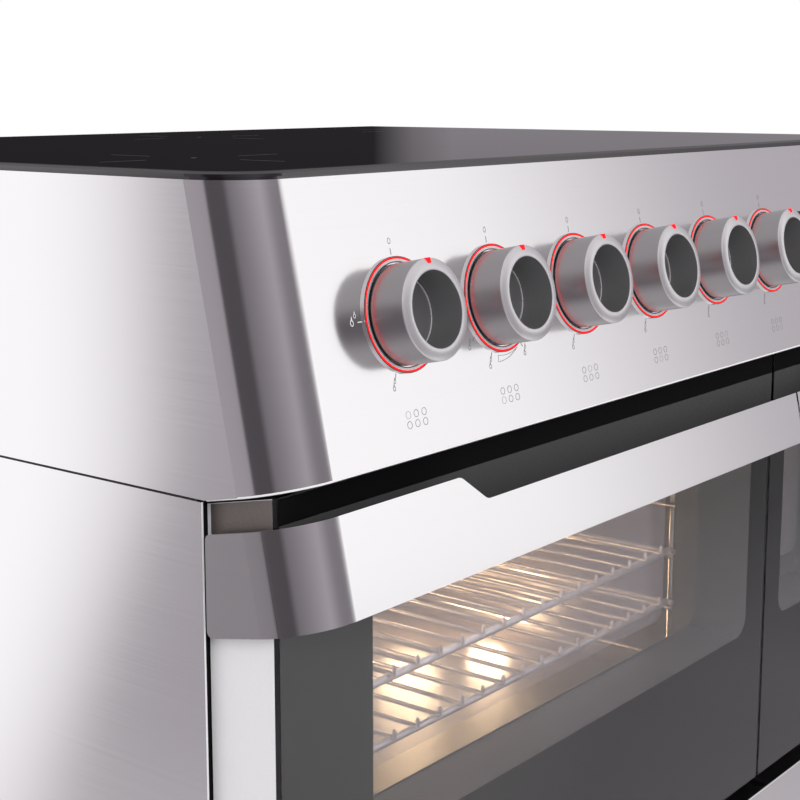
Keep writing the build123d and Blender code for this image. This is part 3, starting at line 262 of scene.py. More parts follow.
# Painted shade: dark brown on the door's side above the bar
DOOR_SIDE_PAINTED_SHADE = speckled("door_side_painted_shade", (0.17, 0.145, 0.136), (0.21, 0.181, 0.171), 0.4, 700, metallic=0.6)
KNOB_RIM = speckled(
    "knob_rim_satin", (0.80, 0.78, 0.80), (0.82, 0.80, 0.82), 0.34, 2200, metallic=0.85, vary=0.03)
KNOB_CUP = speckled("knob_cup_grey", (0.27, 0.265, 0.27), (0.31, 0.305, 0.31), 0.38, 1500, metallic=0.7)
BEZEL = speckled("bezel_satin", (0.62, 0.61, 0.615), (0.7, 0.69, 0.695), 0.3, 300, metallic=0.6)
WIRE_CHROME = speckled("wire_chrome", (0.86, 0.85, 0.86), (0.92, 0.91, 0.92), 0.18, 60, metallic=0.8)
GUIDE_CHROME = speckled("guide_chrome", (0.50, 0.48, 0.47), (0.56, 0.54, 0.53), 0.22, 60, metallic=0.95)
# Painted highlight: a brighter, less metallic copy of the wire chrome for the racks' front rods and wire ends
ROD_PAINTED_HIGHLIGHT = speckled("rod_chrome_painted_highlight", (0.88, 0.87, 0.88), (0.94, 0.93, 0.94), 0.2, 60, metallic=0.3)
ZINC = speckled("zinc_sheet", (0.44, 0.45, 0.47), (0.58, 0.59, 0.61), 0.42, 55, metallic=0.9)
HINGE_STEEL = speckled("hinge_steel", (0.36, 0.36, 0.37), (0.48, 0.48, 0.49), 0.38, 160, metallic=1.0)
BACK_SHEET = speckled("back_sheet", (0.50, 0.51, 0.53), (0.60, 0.61, 0.62), 0.45, 80, metallic=0.85)
SCREW_STEEL = speckled("screw_steel", (0.5, 0.5, 0.51), (0.62, 0.62, 0.63), 0.35, 900, metallic=1.0)
HEATER_TUBE = speckled("heater_tube", (0.09, 0.085, 0.08), (0.15, 0.14, 0.13), 0.5, 260, metallic=0.7)
COPPER = speckled("coil_winding", (0.36, 0.17, 0.09), (0.5, 0.26, 0.14), 0.4, 700, metallic=0.7)

# Enamel, plastic and print
DOOR_LINER = speckled("door_liner_enamel", (0.020, 0.0185, 0.020), (0.028, 0.026, 0.028), 0.4, 420)
ENAMEL = speckled("oven_enamel", (0.040, 0.034, 0.030), (0.060, 0.051, 0.045), 0.32, 420)
FRAME_ENAMEL = speckled("mouth_enamel", (0.030, 0.030, 0.032), (0.05, 0.05, 0.052), 0.35, 420, coat=0.2)
# Painted shade: near black on the bar's back faces, where shade falls behind the bar
BAR_BACK_PAINTED_SHADE = speckled("bar_back_painted_shade", (0.012, 0.012, 0.013), (0.02, 0.02, 0.021), 0.5, 500)
# Painted shade: a near-black strip for the finger gap and a dark grey strip behind the bar
FINGER_GAP_PAINTED_SHADE = dull(speckled("finger_gap_painted_shade", (0.003,) * 3, (0.005,) * 3, 0.9, 500))
GRIP_PAINTED_SHADE = speckled("grip_painted_shade", (0.043, 0.042, 0.043), (0.047, 0.046, 0.047), 0.6, 500)
# Painted shade for the dark lines round each knob's ring
RING_PAINTED_SHADE = speckled("ring_painted_shade", (0.012, 0.012, 0.013), (0.025, 0.025, 0.026), 0.4, 300)
PANEL_PRINT = speckled("panel_print_grey", (0.18, 0.18, 0.185), (0.22, 0.22, 0.225), 0.5, 500)
LIGHT_PRINT = speckled("panel_print_light", (0.80, 0.79, 0.80), (0.84, 0.83, 0.84), 0.5, 500)
HOB_PRINT = speckled("hob_print_grey", (0.11, 0.11, 0.115), (0.15, 0.15, 0.155), 0.5, 500)
BLACK_PLASTIC = speckled("black_plastic", (0.02, 0.02, 0.021), (0.035, 0.035, 0.036), 0.5, 600, relief=0.15)
SEAL_RUBBER = speckled("seal_rubber", (0.025, 0.025, 0.026), (0.045, 0.045, 0.046), 0.75, 500, relief=0.2)
FOOT_PLASTIC = speckled("foot_plastic", (0.03, 0.03, 0.031), (0.05, 0.05, 0.05), 0.5, 400, relief=0.1)

# Glass and light
HOB_BLACK = speckled("hob_black_glass", (0.006,) * 3, (0.009,) * 3, 0.004, 900)
DISPLAY_BLACK = speckled("display_black_glass", (0.005, 0.005, 0.006), (0.009, 0.009, 0.010), 0.06, 700)
# Black print behind the door glass; the same near black is painted shade on the inner panes' edges and on the
# chassis deck
BLACK_PRINT_AND_SHADE = speckled("black_print_and_painted_shade", (0.014, 0.014, 0.015), (0.016, 0.016, 0.017), 0.3, 900, vary=0.02)
DOOR_GLASS = clear_glass("door_glass", (0.86, 0.835, 0.855))
INNER_GLASS = clear_glass("inner_pane", (0.95, 0.95, 0.94))
HAZE = veil("inner_pane_haze", (0.70, 0.64, 0.70), 0.16, 0.5)
LAMP_GLASS = glowing("lamp_lens_glow", (1.0, 0.72, 0.40), 6.0)
LED_RED = glowing("led_red", (1.0, 0.008, 0.010), 1.0)
# Painted light: the knobs' red inserts glow though they are no lamp
POINTER_PAINTED_GLOW = glowing("pointer_red_painted_glow", (0.95, 0.01, 0.015), 0.55)
DIGIT_GLOW = glowing("digit_glow", (0.85, 0.93, 1.0), 0.9)

# Finishes of the nodes; what isn't named here is zinc sheet
NODE_FINISH = {
    "control_panel": CASING_STEEL,
    "side_panel_left": CASING_STEEL,
    "side_panel_right": CASING_STEEL,
    "drawer_front": CASING_STEEL,
    "main_handle_bar": BAR_STEEL,
    "side_handle_bar": BAR_STEEL,
    "hob_trim": TRIM_STEEL,
    "main_door_frame": DOOR_STEEL,
    "side_door_frame": DOOR_STEEL,
    "main_bar_brackets": DOOR_STEEL,
    "side_bar_brackets": DOOR_STEEL,
    "hob_glass": HOB_BLACK,
    "display_glass": DISPLAY_BLACK,
    "main_door_outer_glass": DOOR_GLASS,
    "side_door_outer_glass": DOOR_GLASS,
    "main_door_inner_glass": INNER_GLASS,
    "side_door_inner_glass": INNER_GLASS,
    "oven_lamps": LAMP_GLASS,
    "led_rings": LED_RED,
    "knob_bezels": BEZEL,
    "main_oven_cavity": ENAMEL,
    "side_oven_cavity": ENAMEL,
    "fan_baffle": ENAMEL,
    "front_frame": FRAME_ENAMEL,
    "rack_guides": GUIDE_CHROME,
    "main_rack_upper": WIRE_CHROME,
    "main_rack_lower": WIRE_CHROME,
    "side_rack": WIRE_CHROME,
    "ring_heater": HEATER_TUBE,
    "grill_heater": HEATER_TUBE,
    "induction_coils": COPPER,
    "zone_switches": BLACK_PLASTIC,
    "display_module": BLACK_PLASTIC,
    "terminal_box": BLACK_PLASTIC,
    "cable_gland": BLACK_PLASTIC,
    "door_seals": SEAL_RUBBER,
    "fan_motor": HINGE_STEEL,
    "convection_fan": HINGE_STEEL,
    "hinge_receivers": HINGE_STEEL,
    "main_door_hinges": HINGE_STEEL,
    "side_door_hinges": HINGE_STEEL,
    "leg_sleeves": LEG_STEEL,
    "rear_panel": BACK_SHEET,
    # The deck's near black is painted shade in the seam below the control panel
    "chassis_deck": BLACK_PRINT_AND_SHADE,
}
for name, node in nodes.items():
    chosen = NODE_FINISH.get(name, ZINC)
    if name.startswith("knob_") and name != "knob_bezels":
        chosen = KNOB_SIDE
    if name.startswith("foot_"):
        chosen = FOOT_PLASTIC
    node.data.materials.clear()
    node.data.materials.append(chosen)


# Second finishes on surfaces of their own
BORE_MARGIN = 0.0004
CUP_MARGIN = 0.001
RIM_DEPTH = 0.006
RIM_FACING = 0.25
WALL_FACING = 0.5
BAR_BACK_FACING = 0.3
BAR_END_FACING = 0.935
HEM_FACING = 0.7
PANE_EDGE_FACING = 0.95
DOOR_SKIN = 0.0006
FRONT_ROD_DEPTH = 0.0095


def second_finish(name, finish, belongs):
    """Gives a node's faces that belong to a surface of their own another finish."""
    mesh = nodes[name].data
    turn = nodes[name].matrix_world
    mesh.materials.append(finish)
    number = len(mesh.materials) - 1
    for face in mesh.polygons:
        if belongs(turn @ face.center, (turn.to_3x3() @ face.normal).normalized()):
            face.material_index = number


def knob_finishes(name, x):
    """A light turned rim and a dark cup inside a knob."""
    axis_foot = PANEL_FOOT + SLOPE * KNOB_RISE

    def from_axis(place):
        out = place - Vector((x, axis_foot.y, axis_foot.z))
        rise = out.dot(OUTWARD)
        return (out - OUTWARD * rise).length, rise

    def in_cup(place, normal):
        away, rise = from_axis(place)
        return away < KNOB_BORE + BORE_MARGIN and rise > KNOB_FLOOR - CUP_MARGIN

    def on_rim(place, normal):
        away, rise = from_axis(place)
        in_front = rise > KNOB_FRONT - RIM_DEPTH
        return away >= KNOB_BORE + BORE_MARGIN and normal.dot(OUTWARD) > RIM_FACING and in_front

    second_finish(name, KNOB_RIM, on_rim)
    second_finish(name, KNOB_CUP, in_cup)


def door_finishes(name):
    """A dark liner in a door, painted shade on its bar's back and ends, and painted shade on the inner pane's
    edges.
    """
    low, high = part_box(f"{name}_door_frame")

    def inside(place, normal):
        return low.x + DOOR_SKIN < place.x < high.x - DOOR_SKIN

    second_finish(f"{name}_door_frame", DOOR_LINER, inside)
    bar = f"{name}_handle_bar"
    second_finish(bar, BAR_BACK_PAINTED_SHADE, lambda place, normal: normal.y > BAR_BACK_FACING)
    second_finish(bar, BAR_END_PAINTED_SHADE, lambda place, normal: abs(normal.x) > BAR_END_FACING)
    pane = f"{name}_door_inner_glass"
    # The inner pane's edges get painted shade
    second_finish(pane, BLACK_PRINT_AND_SHADE, lambda place, normal: abs(normal.y) < PANE_EDGE_FACING)


for number, middle in enumerate(KNOB_X, 1):
    knob_finishes(f"knob_{number}", middle)
second_finish("knob_bezels", CASING_STEEL, lambda place, normal: abs(normal.dot(OUTWARD)) < WALL_FACING)
for name in ("main", "side"):
    door_finishes(name)
# The hems' front faces get the painted highlight and painted shade
for name in ("side_panel_left", "side_panel_right"):
    second_finish(name, HEM_PAINTED_LIGHT, lambda place, normal: normal.y < -HEM_FACING)
# The racks' front rods get the painted highlight
for name in RACKS:
    rod_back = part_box(name)[0].y + FRONT_ROD_DEPTH
    second_finish(name, ROD_PAINTED_HIGHLIGHT, lambda place, normal: place.y < rod_back)


# Piece making
def piece(name, mesh_edit, body, finish):
    """Turns an edited mesh into a named piece that rides on a body."""
    bmesh.ops.recalc_face_normals(mesh_edit, faces=mesh_edit.faces)
    data = bpy.data.meshes.new(name)
    mesh_edit.to_mesh(data)
    mesh_edit.free()
    data.materials.append(finish)
    made = bpy.data.objects.new(name, data)
    bpy.context.scene.collection.objects.link(made)
    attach(made, body)
    return made


def smooth(made):
    for face in made.data.polygons:
        face.use_smooth = True
    return made


def corners_of(geometry):
    return [g for g in geometry if isinstance(g, bmesh.types.BMVert)]


def edges_of(geometry):
    return [g for g in geometry if isinstance(g, bmesh.types.BMEdge)]


def thicken(edit, faces, push):
    """Raises flat faces into a closed thin solid and gives the raised corners."""
    raised = corners_of(bmesh.ops.extrude_face_region(edit, geom=faces)["geom"])
    bmesh.ops.translate(edit, vec=push, verts=raised)
    return raised


def raised_print(edit, verts, height, place):
    """Thickens a flat shape and moves it to its place."""
    faces = list({f for v in verts for f in v.link_faces})
    verts = verts + thicken(edit, faces, (0, 0, height))
    bmesh.ops.transform(edit, matrix=place, verts=verts)


def flat_square(edit, width, length):
    made = bmesh.ops.create_grid(edit, x_segments=1, y_segments=1, size=0.5)["verts"]
    bmesh.ops.scale(edit, vec=(width, length, 1), verts=made)
    return made


def ring_sketch(edit, radius, growth, sides):
    """A flat ring grown outward from a circle: all its corners, and the outer ones."""
    made = bmesh.ops.create_circle(edit, segments=sides, radius=radius)["verts"]
    edges = list({e for v in made for e in v.link_edges})
    rim = corners_of(bmesh.ops.extrude_edge_only(edit, edges=edges)["geom"])
    bmesh.ops.scale(edit, vec=(growth, growth, 1), verts=rim)
    return made + rim, rim


def flat_ring(edit, inner, outer, place, sides=48, squeeze=1.0, height=PRINT):
    """A flat printed ring, or an ellipse where it is squeezed."""
    verts = ring_sketch(edit, inner, outer / inner, sides)[0]
    bmesh.ops.scale(edit, vec=(squeeze, 1, 1), verts=verts)
    raised_print(edit, verts, height, place)


def flat_disc(edit, radius, place, sides=24):
    made = bmesh.ops.create_circle(edit, cap_ends=True, segments=sides, radius=radius)["verts"]
    raised_print(edit, made, PRINT, place)


def flat_bar(edit, width, length, place, height=PRINT):
    raised_print(edit, flat_square(edit, width, length), height, place)


# Shares of a heat sign's size
DROP_OPENING = 0.32
DROP_GROWTH = 1.5
DROP_TIP_RIGHT = 0.12
DROP_TIP_UP = 0.6
DROP_SQUEEZE = 0.8
DROP_SIDES = 14


def flame_mark(edit, size, place):
    """A small heat sign: a drop with an open middle."""
    verts, rim = ring_sketch(edit, size * DROP_OPENING, DROP_GROWTH, DROP_SIDES)
    tip = max(rim, key=lambda v: v.co.y)
    bmesh.ops.translate(edit, vec=(size * DROP_TIP_RIGHT, size * DROP_TIP_UP, 0), verts=[tip])
    bmesh.ops.scale(edit, vec=(DROP_SQUEEZE, 1, 1), verts=verts)
    raised_print(edit, verts, PRINT, place)


def round_corners(edit, verts, radius):
    bmesh.ops.bevel(
        edit, geom=verts, offset=radius, segments=8, profile=0.5, affect="VERTICES", material=-1)


# Control panel bead
BEAD_RADIUS = 0.0007
BEAD_PROUD = 0.0003
BEAD_BACK = 0.064
BEAD_HIDDEN = 0.00002


def panel_bead():
    """The rolled bead along the panel's lower edge, round both corners to the side seams; its pale satin
    colour is a painted highlight.
    """
    edit = bmesh.new()
    side = PANEL_HIGH.x - BEAD_HIDDEN
    middle = PANEL_HIGH.x - CORNER_RADIUS
    reach = CORNER_RADIUS + BEAD_PROUD - BEAD_RADIUS

    def onward(edges, push):
        verts = corners_of(bmesh.ops.extrude_edge_only(edit, edges=edges)["geom"])
        bmesh.ops.translate(edit, vec=push, verts=verts)
        return [e for e in edit.edges if e.verts[0] in verts and e.verts[1] in verts]

    def round_corner(edges, x):
        geometry = list({v for e in edges for v in e.verts}) + edges
        bend = dict(cent=(x, 0, -CORNER_RADIUS), axis=(0, 1, 0), angle=math.pi / 2, steps=24)
        return edges_of(bmesh.ops.spin(edit, geom=geometry, **bend)["geom_last"])

    section = bmesh.ops.create_circle(edit, segments=12, radius=BEAD_RADIUS)["verts"]
    bmesh.ops.translate(edit, vec=(-middle - reach, 0, -BEAD_BACK), verts=section)
    front = onward(list(edit.edges), (0, 0, BEAD_BACK - CORNER_RADIUS))
    front = round_corner(front, -middle)
    front = onward(front, (2 * middle, 0, 0))
    front = round_corner(front, middle)
    onward(front, (0, 0, CORNER_RADIUS - BEAD_BACK))
    bmesh.ops.holes_fill(edit, edges=edit.edges)
    for vert in edit.verts:
        vert.co.x = max(-side, min(side, vert.co.x))
    bmesh.ops.transform(edit, matrix=on_panel(0, 0), verts=edit.verts)
    return smooth(piece("panel_bead", edit, "cooker_body", DOOR_STEEL))


# Control panel prints; angles run anticlockwise round a knob, from its right
TICK_RADIUS = 0.0390
TICK_WIDTH = 0.0006
TICK_LENGTH = 0.0042
SIGN_RADIUS = 0.0450
# Drops of a sign: size, and place to the right and upward
HEAT_DROPS = ((0.0026, 0.0008, 0.0026), (0.0034, -0.0006, -0.0014))
FULL_POWER_DROPS = ((0.0042, -0.0462, 0.0), (0.0030, -0.0428, 0.0040))
OFF_RISE = 0.0455
OFF_RING = (0.00155, 0.0020)
OFF_SQUEEZE = 0.72
OFF_ANGLE = 90
FULL_ANGLE = 180
LOW_ANGLE = 248
WEDGE_KNOB = 1
WEDGE_KNOB_ANGLES = (217, 302)
WEDGE_START = 260.5
WEDGE_SWEEP = 32.5
WEDGE_STEPS = 12
WEDGE_RADIUS = 0.0378
WEDGE_DEPTH = 0.0042
WEDGE_LINE = 0.00035
WEDGE_DASH = 0.0021
WEDGE_END_ANGLE = 259.2
WEDGE_END_RADIUS = 0.0399
WEDGE_END_LENGTH = 0.0044
ZONE_SIGN_SHIFT = -0.0008
ZONE_SIGN_RISE = 0.0230
ZONE_SIGN_PITCH = 0.0078
ZONE_SIGN_HALF_PITCH = 0.0031
ZONE_SIGN_RADIUS = 0.0024
ZONE_SIGN_LINE = 0.00038
ZONE_SIGN_OWN_LINE = 0.00022


def round_knob(x, angle, radius):
    """A place on the panel at an angle round a knob, and the turn that points outward."""
    turn = math.radians(angle)
    place = on_panel(x + math.cos(turn) * radius, KNOB_RISE + math.sin(turn) * radius)
    return place, Matrix.Rotation(turn - math.pi / 2, 4, "Z")


def tick(edit, x, angle):
    place, spin = round_knob(x, angle, TICK_RADIUS)
    flat_bar(edit, TICK_WIDTH, TICK_LENGTH, place @ spin)


def heat_sign(edit, x, angle):
    """Two small drops, the lower one larger."""
    place = round_knob(x, angle, SIGN_RADIUS)[0]
    for size, right, up in HEAT_DROPS:
        flame_mark(edit, size, place @ Matrix.Translation((right, up, 0)))


def power_wedge(edit, x):
    """The outline of a wedge that narrows round the lower side of a knob."""
    for step in range(WEDGE_STEPS + 1):
        share = step / WEDGE_STEPS
        for radius in (WEDGE_RADIUS, WEDGE_RADIUS + WEDGE_DEPTH * (1 - share)):
            place, spin = round_knob(x, WEDGE_START + WEDGE_SWEEP * share, radius)
            flat_bar(edit, WEDGE_DASH, WEDGE_LINE, place @ spin)
    place, spin = round_knob(x, WEDGE_END_ANGLE, WEDGE_END_RADIUS)
    flat_bar(edit, WEDGE_LINE, WEDGE_END_LENGTH, place @ spin)


def zone_sign(edit, x, own):
    """Six small rings for the six zones, with the knob's own zone in a finer line."""
    zones = [(column, row) for column in (-1, 0, 1) for row in (1, -1)]
    for number, (column, row) in enumerate(zones):
        across = x + ZONE_SIGN_SHIFT + column * ZONE_SIGN_PITCH
        spot = on_panel(across, ZONE_SIGN_RISE + row * ZONE_SIGN_HALF_PITCH)
        line = ZONE_SIGN_OWN_LINE if number == own else ZONE_SIGN_LINE
        flat_ring(edit, ZONE_SIGN_RADIUS - line, ZONE_SIGN_RADIUS, spot, 24)


def panel_prints():
    edit = bmesh.new()
    for index, x in enumerate(KNOB_X):
        for angle in (OFF_ANGLE, LOW_ANGLE):
            tick(edit, x, angle)
        flat_ring(edit, *OFF_RING, on_panel(x, KNOB_RISE + OFF_RISE), 24, OFF_SQUEEZE)
        heat_sign(edit, x, LOW_ANGLE)
        if index == WEDGE_KNOB:
            for angle in WEDGE_KNOB_ANGLES:
                tick(edit, x, angle)
                heat_sign(edit, x, angle)
            power_wedge(edit, x)
        zone_sign(edit, x, index)
    return piece("panel_prints", edit, "cooker_body", PANEL_PRINT)


def full_power_prints():
    """The light mark for full power on the left of each knob."""
    edit = bmesh.new()
    for x in KNOB_X:
        tick(edit, x, FULL_ANGLE)
        for size, right, up in FULL_POWER_DROPS:
            flame_mark(edit, size, on_panel(x + right, KNOB_RISE + up))
    return piece("full_power_prints", edit, "cooker_body", LIGHT_PRINT)


# Knobs and their rings
TURNED_STEPS = 96
RING_OUTER = 0.0358
RING_HEIGHT = 0.00032
GROOVE_INNER = KNOB_RADIUS + 0.0008
GROOVE_OUTER = KNOB_RADIUS + 0.0014
GROOVE_HEIGHT = 0.00036
BAND_OUTER = LED_OUTER - 0.0011
BAND_HEIGHT = 0.00034
POINTER_SIZE = (0.0045, 0.0035, 0.0022)
POINTER_TAPER = 0.72
POINTER_LIFT = 0.0007
POINTER_EDGE = 0.0002
POINTER_INSET = 0.00165
CUP_RING_RADIUS = 0.0006
CUP_RING_INSET = 0.0008
CUP_RING_LIFT = 0.0004
RIM_DOME = 0.0007


def knob_ring_shade_lines():
    """The black lines outside the red ring and next to the knob: painted shade in the ring's recess and the
    gap by the knob.
    """
    edit = bmesh.new()
    for x in KNOB_X:
        place = on_panel(x, KNOB_RISE, BEZEL_TOP)
        flat_ring(edit, LED_OUTER, RING_OUTER, place, TURNED_STEPS, height=RING_HEIGHT)
        flat_ring(edit, GROOVE_INNER, GROOVE_OUTER, place, TURNED_STEPS, height=GROOVE_HEIGHT)
    return piece("knob_ring_shade_lines", edit, "cooker_body", RING_PAINTED_SHADE)


def knob_ring_bands():
    """The pale satin band between a knob and its red ring."""
    edit = bmesh.new()
    for x in KNOB_X:
        place = on_panel(x, KNOB_RISE, BEZEL_TOP)
        flat_ring(edit, GROOVE_OUTER, BAND_OUTER, place, TURNED_STEPS, height=BAND_HEIGHT)
    return piece("knob_ring_bands", edit, "cooker_body", BEZEL)


def knob_pointer(index, x):
    """The red insert let into the notch at the top of a knob's rim, with a faint painted glow."""
    edit = bmesh.new()
    bmesh.ops.create_cube(edit, size=1.0)
    bmesh.ops.scale(edit, vec=POINTER_SIZE, verts=edit.verts)
    inner = [v for v in edit.verts if v.co.y < 0]
    bmesh.ops.scale(edit, vec=(POINTER_TAPER, 1, 1), verts=inner)
    bmesh.ops.translate(edit, vec=(0, 0, POINTER_LIFT), verts=[v for v in inner if v.co.z > 0])
    edges = list(edit.edges)
    bmesh.ops.bevel(
        edit, geom=edges, offset=POINTER_EDGE, segments=2, profile=0.5, affect="EDGES", material=-1)
    place = on_panel(x, KNOB_RISE + KNOB_RADIUS - POINTER_INSET, KNOB_FRONT)
    bmesh.ops.transform(edit, matrix=place, verts=edit.verts)
    return piece(f"knob_pointer_{index}", edit, f"knob_body_{index}", POINTER_PAINTED_GLOW)


def turned_ring(edit, radius, half_width, half_height, lean, place):
    """A turned ring with an oval section."""
    made = bmesh.ops.create_circle(edit, segments=20, radius=1.0)["verts"]
    bmesh.ops.scale(edit, vec=(half_width, half_height, 1), verts=made)
    bmesh.ops.rotate(edit, matrix=Matrix.Rotation(lean, 3, "Z"), verts=made)
    bmesh.ops.rotate(edit, matrix=Matrix.Rotation(math.pi / 2, 3, "X"), verts=made)
    bmesh.ops.translate(edit, vec=(radius, 0, 0), verts=made)
    around = dict(angle=math.tau, steps=TURNED_STEPS, axis=(0, 0, 1), cent=(0, 0, 0), use_merge=True)
    bmesh.ops.spin(edit, geom=list(edit.verts) + list(edit.edges), **around)
    bmesh.ops.remove_doubles(edit, verts=edit.verts, dist=1e-6)
    bmesh.ops.transform(edit, matrix=place, verts=edit.verts)


def knob_cup_ring(index, x):
    """The bright turned ring round the floor of a knob's cup."""
    edit = bmesh.new()
    place = on_panel(x, KNOB_RISE, KNOB_FLOOR + CUP_RING_LIFT)
    turned_ring(edit, KNOB_BORE - CUP_RING_INSET, CUP_RING_RADIUS, CUP_RING_RADIUS, 0, place)
    return smooth(piece(f"knob_cup_ring_{index}", edit, f"knob_body_{index}", BEZEL))


def knob_rim(index, x):
    """The gently rounded rim turned on a knob's coned front."""
    edit = bmesh.new()
    half = (KNOB_RADIUS - KNOB_BORE) / 2
    lean = -math.atan2(KNOB_CROWN, 2 * half)
    middle = on_panel(x, KNOB_RISE, KNOB_FRONT + KNOB_CROWN / 2)
    turned_ring(edit, KNOB_BORE + half, half, RIM_DOME, lean, middle)
    return smooth(piece(f"knob_rim_{index}", edit, f"knob_body_{index}", KNOB_RIM))


# Hob prints
ZONE_SIDE_INSET = 0.124
ZONE_FRONT_INSET = 0.158
ZONE_DOT = 0.0022
ZONE_ARM_WIDTH = 0.0012
ZONE_ARM_LENGTH = 0.039
ZONE_ARM_REACH = 0.0625
HOB_PRINT_SUNK = 0.00005


def hob_prints():
    """A dot and a wide cross in the middle of each zone."""
    edit = bmesh.new()
    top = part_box("hob_glass")[1].z - HOB_PRINT_SUNK
    trim_low, trim_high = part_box("hob_trim")
    columns = (trim_low.x + ZONE_SIDE_INSET, 0.0, trim_high.x - ZONE_SIDE_INSET)
    rows = (trim_low.y + ZONE_FRONT_INSET, trim_high.y - ZONE_FRONT_INSET)
    out = Matrix.Translation((0, ZONE_ARM_REACH, 0))
    for x in columns:
        for y in rows:
            centre = Matrix.Translation((x, y, top))
            flat_disc(edit, ZONE_DOT, centre, 20)
            for quarter in range(4):
                turn = Matrix.Rotation(quarter * math.pi / 2, 4, "Z")
                flat_bar(edit, ZONE_ARM_WIDTH, ZONE_ARM_LENGTH, centre @ turn @ out)
    return piece("hob_prints", edit, "cooker_body", HOB_PRINT)


# Door prints and trim
BORDER_DEPTH = 0.00012
BORDER_GAP = 0.0001
BORDER_INSET = 0.0005
WINDOW_OVERLAP = 0.013
WINDOW_DROP = 0.018
WINDOW_CORNER = 0.016
COAT_DEPTH = 0.0001
COAT_GAP = 0.0004
COAT_MARGIN = 0.002
COAT_SPLIT_MAIN = 0.0635
COAT_SPLIT_SIDE = 0.02
COAT_RISE = 0.021
COAT_CORNER = 0.012
STRIP_DEPTH = 0.0002
STRIP_INSET = 0.001
TOP_STRIP_DROP = 0.0008
TOP_STRIP_TALL = 0.0152
GRIP_STRIP_DROP = 0.0164
GRIP_STRIP_TALL = 0.030
CAP_DEPTH = 0.0003
CAP_FRONT_GAP = 0.0001
CAP_BACK_GAP = 0.003
CAP_TOP_GAP = 0.0004


def flat_outline(edit, left, right, bottom, top):
    """A flat rectangle between two corners."""
    verts = flat_square(edit, right - left, top - bottom)
    bmesh.ops.translate(edit, vec=((left + right) / 2, (bottom + top) / 2, 0), verts=verts)
    return verts


def door_border(name, body, left_overlap, right_overlap):
    """The black print behind a door's front glass, round the window."""
    low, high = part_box(f"{name}_door_outer_glass")
    pane_low, pane_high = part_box(f"{name}_door_inner_glass")
    edit = bmesh.new()
    left = pane_low.x + left_overlap
    right = pane_high.x - right_overlap
    hole = flat_outline(edit, left, right, pane_low.z, pane_high.z - WINDOW_DROP)
    round_corners(edit, hole, WINDOW_CORNER)
    bmesh.ops.delete(edit, geom=list(edit.faces), context="FACES_ONLY")
    inner = list(edit.edges)
    flat_outline(
        edit, low.x + BORDER_INSET, high.x - BORDER_INSET, low.z + BORDER_INSET, high.z - BORDER_INSET)
    bmesh.ops.delete(edit, geom=list(edit.faces), context="FACES_ONLY")
    outer = [e for e in edit.edges if e not in inner]
    bmesh.ops.triangle_fill(edit, edges=inner + outer, use_beauty=True)
    thicken(edit, list(edit.faces), (0, 0, BORDER_DEPTH))
    bmesh.ops.transform(edit, matrix=facing_front(0, high.y - BORDER_GAP, 0), verts=edit.verts)
    return piece(f"{name}_door_border", edit, body, BLACK_PRINT_AND_SHADE)


def pane_coat(name, body, left_margin, right_margin):
    """The faint reflecting coat on the inner pane's front."""
    low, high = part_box(f"{name}_door_inner_glass")
    edit = bmesh.new()
    left = low.x + left_margin
    right = high.x - right_margin
    plate = flat_outline(edit, left, right, low.z + COAT_RISE, high.z - COAT_MARGIN)
    round_corners(edit, plate, COAT_CORNER)
    thicken(edit, list(edit.faces), (0, 0, COAT_DEPTH))
    bmesh.ops.transform(edit, matrix=facing_front(0, low.y - COAT_GAP, 0), verts=edit.verts)
    return piece(f"{name}_pane_coat", edit, body, HAZE)


def painted_shade_strip(name, place_name, body, drop, tall, finish):
    """A dark strip along a door's front glass, behind the finger gap and the bar: painted shade."""
    low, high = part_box(f"{name}_door_outer_glass")
    edit = bmesh.new()
    place = facing_front((low.x + high.x) / 2, low.y, high.z - drop - tall / 2)
    flat_bar(edit, high.x - low.x - 2 * STRIP_INSET, tall, place, STRIP_DEPTH)
    return piece(f"{name}_door_{place_name}_strip", edit, body, finish)


def door_shade_patch(name, body, side):
    """The end cap of a door's top rail, above the wrapped end of the bar; its dark brown colour is painted
    shade.
    """
    low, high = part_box(f"{name}_door_frame")
    bar_low, bar_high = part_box(f"{name}_handle_bar")
    foot = (bar_low.z + bar_high.z) / 2
    edit = bmesh.new()
    corners = flat_outline(edit, low.y + CAP_FRONT_GAP, high.y - CAP_BACK_GAP, foot, high.z)
    for corner in corners:
        if corner.co.y > (high.z + foot) / 2:
            drop = CAP_TOP_GAP + (corner.co.x - low.y) * math.tan(TILT)
            bmesh.ops.translate(edit, vec=(0, -drop, 0), verts=[corner])
    thicken(edit, list(edit.faces), (0, 0, CAP_DEPTH))
    upright = Matrix(((0, 0, side, 0), (1, 0, 0, 0), (0, 1, 0, 0), (0, 0, 0, 1)))
    skin = low.x if side < 0 else high.x
    bmesh.ops.transform(edit, matrix=Matrix.Translation((skin, 0, 0)) @ upright, verts=edit.verts)
    return piece(f"{name}_door_shade_patch", edit, body, DOOR_SIDE_PAINTED_SHADE)


# Clock display
DISPLAY_PROUD = 0.0012
DIGIT_SIZE = 0.020
DIGIT_RISE = KNOB_RISE + 0.006
KEY_RISE = KNOB_RISE - 0.015
KEY_OFFSETS = (-0.056, -0.042, 0.042, 0.056)
PLUS_OFFSETS = (0.042, -0.042)
KEY_RING = (0.0036, 0.0041)
KEY_BAR = 0.0036
KEY_LINE = 0.0005
DOT_OFFSETS = (-0.02, -0.01, 0.0, 0.01, 0.02)
DOT_RADIUS = 0.0009


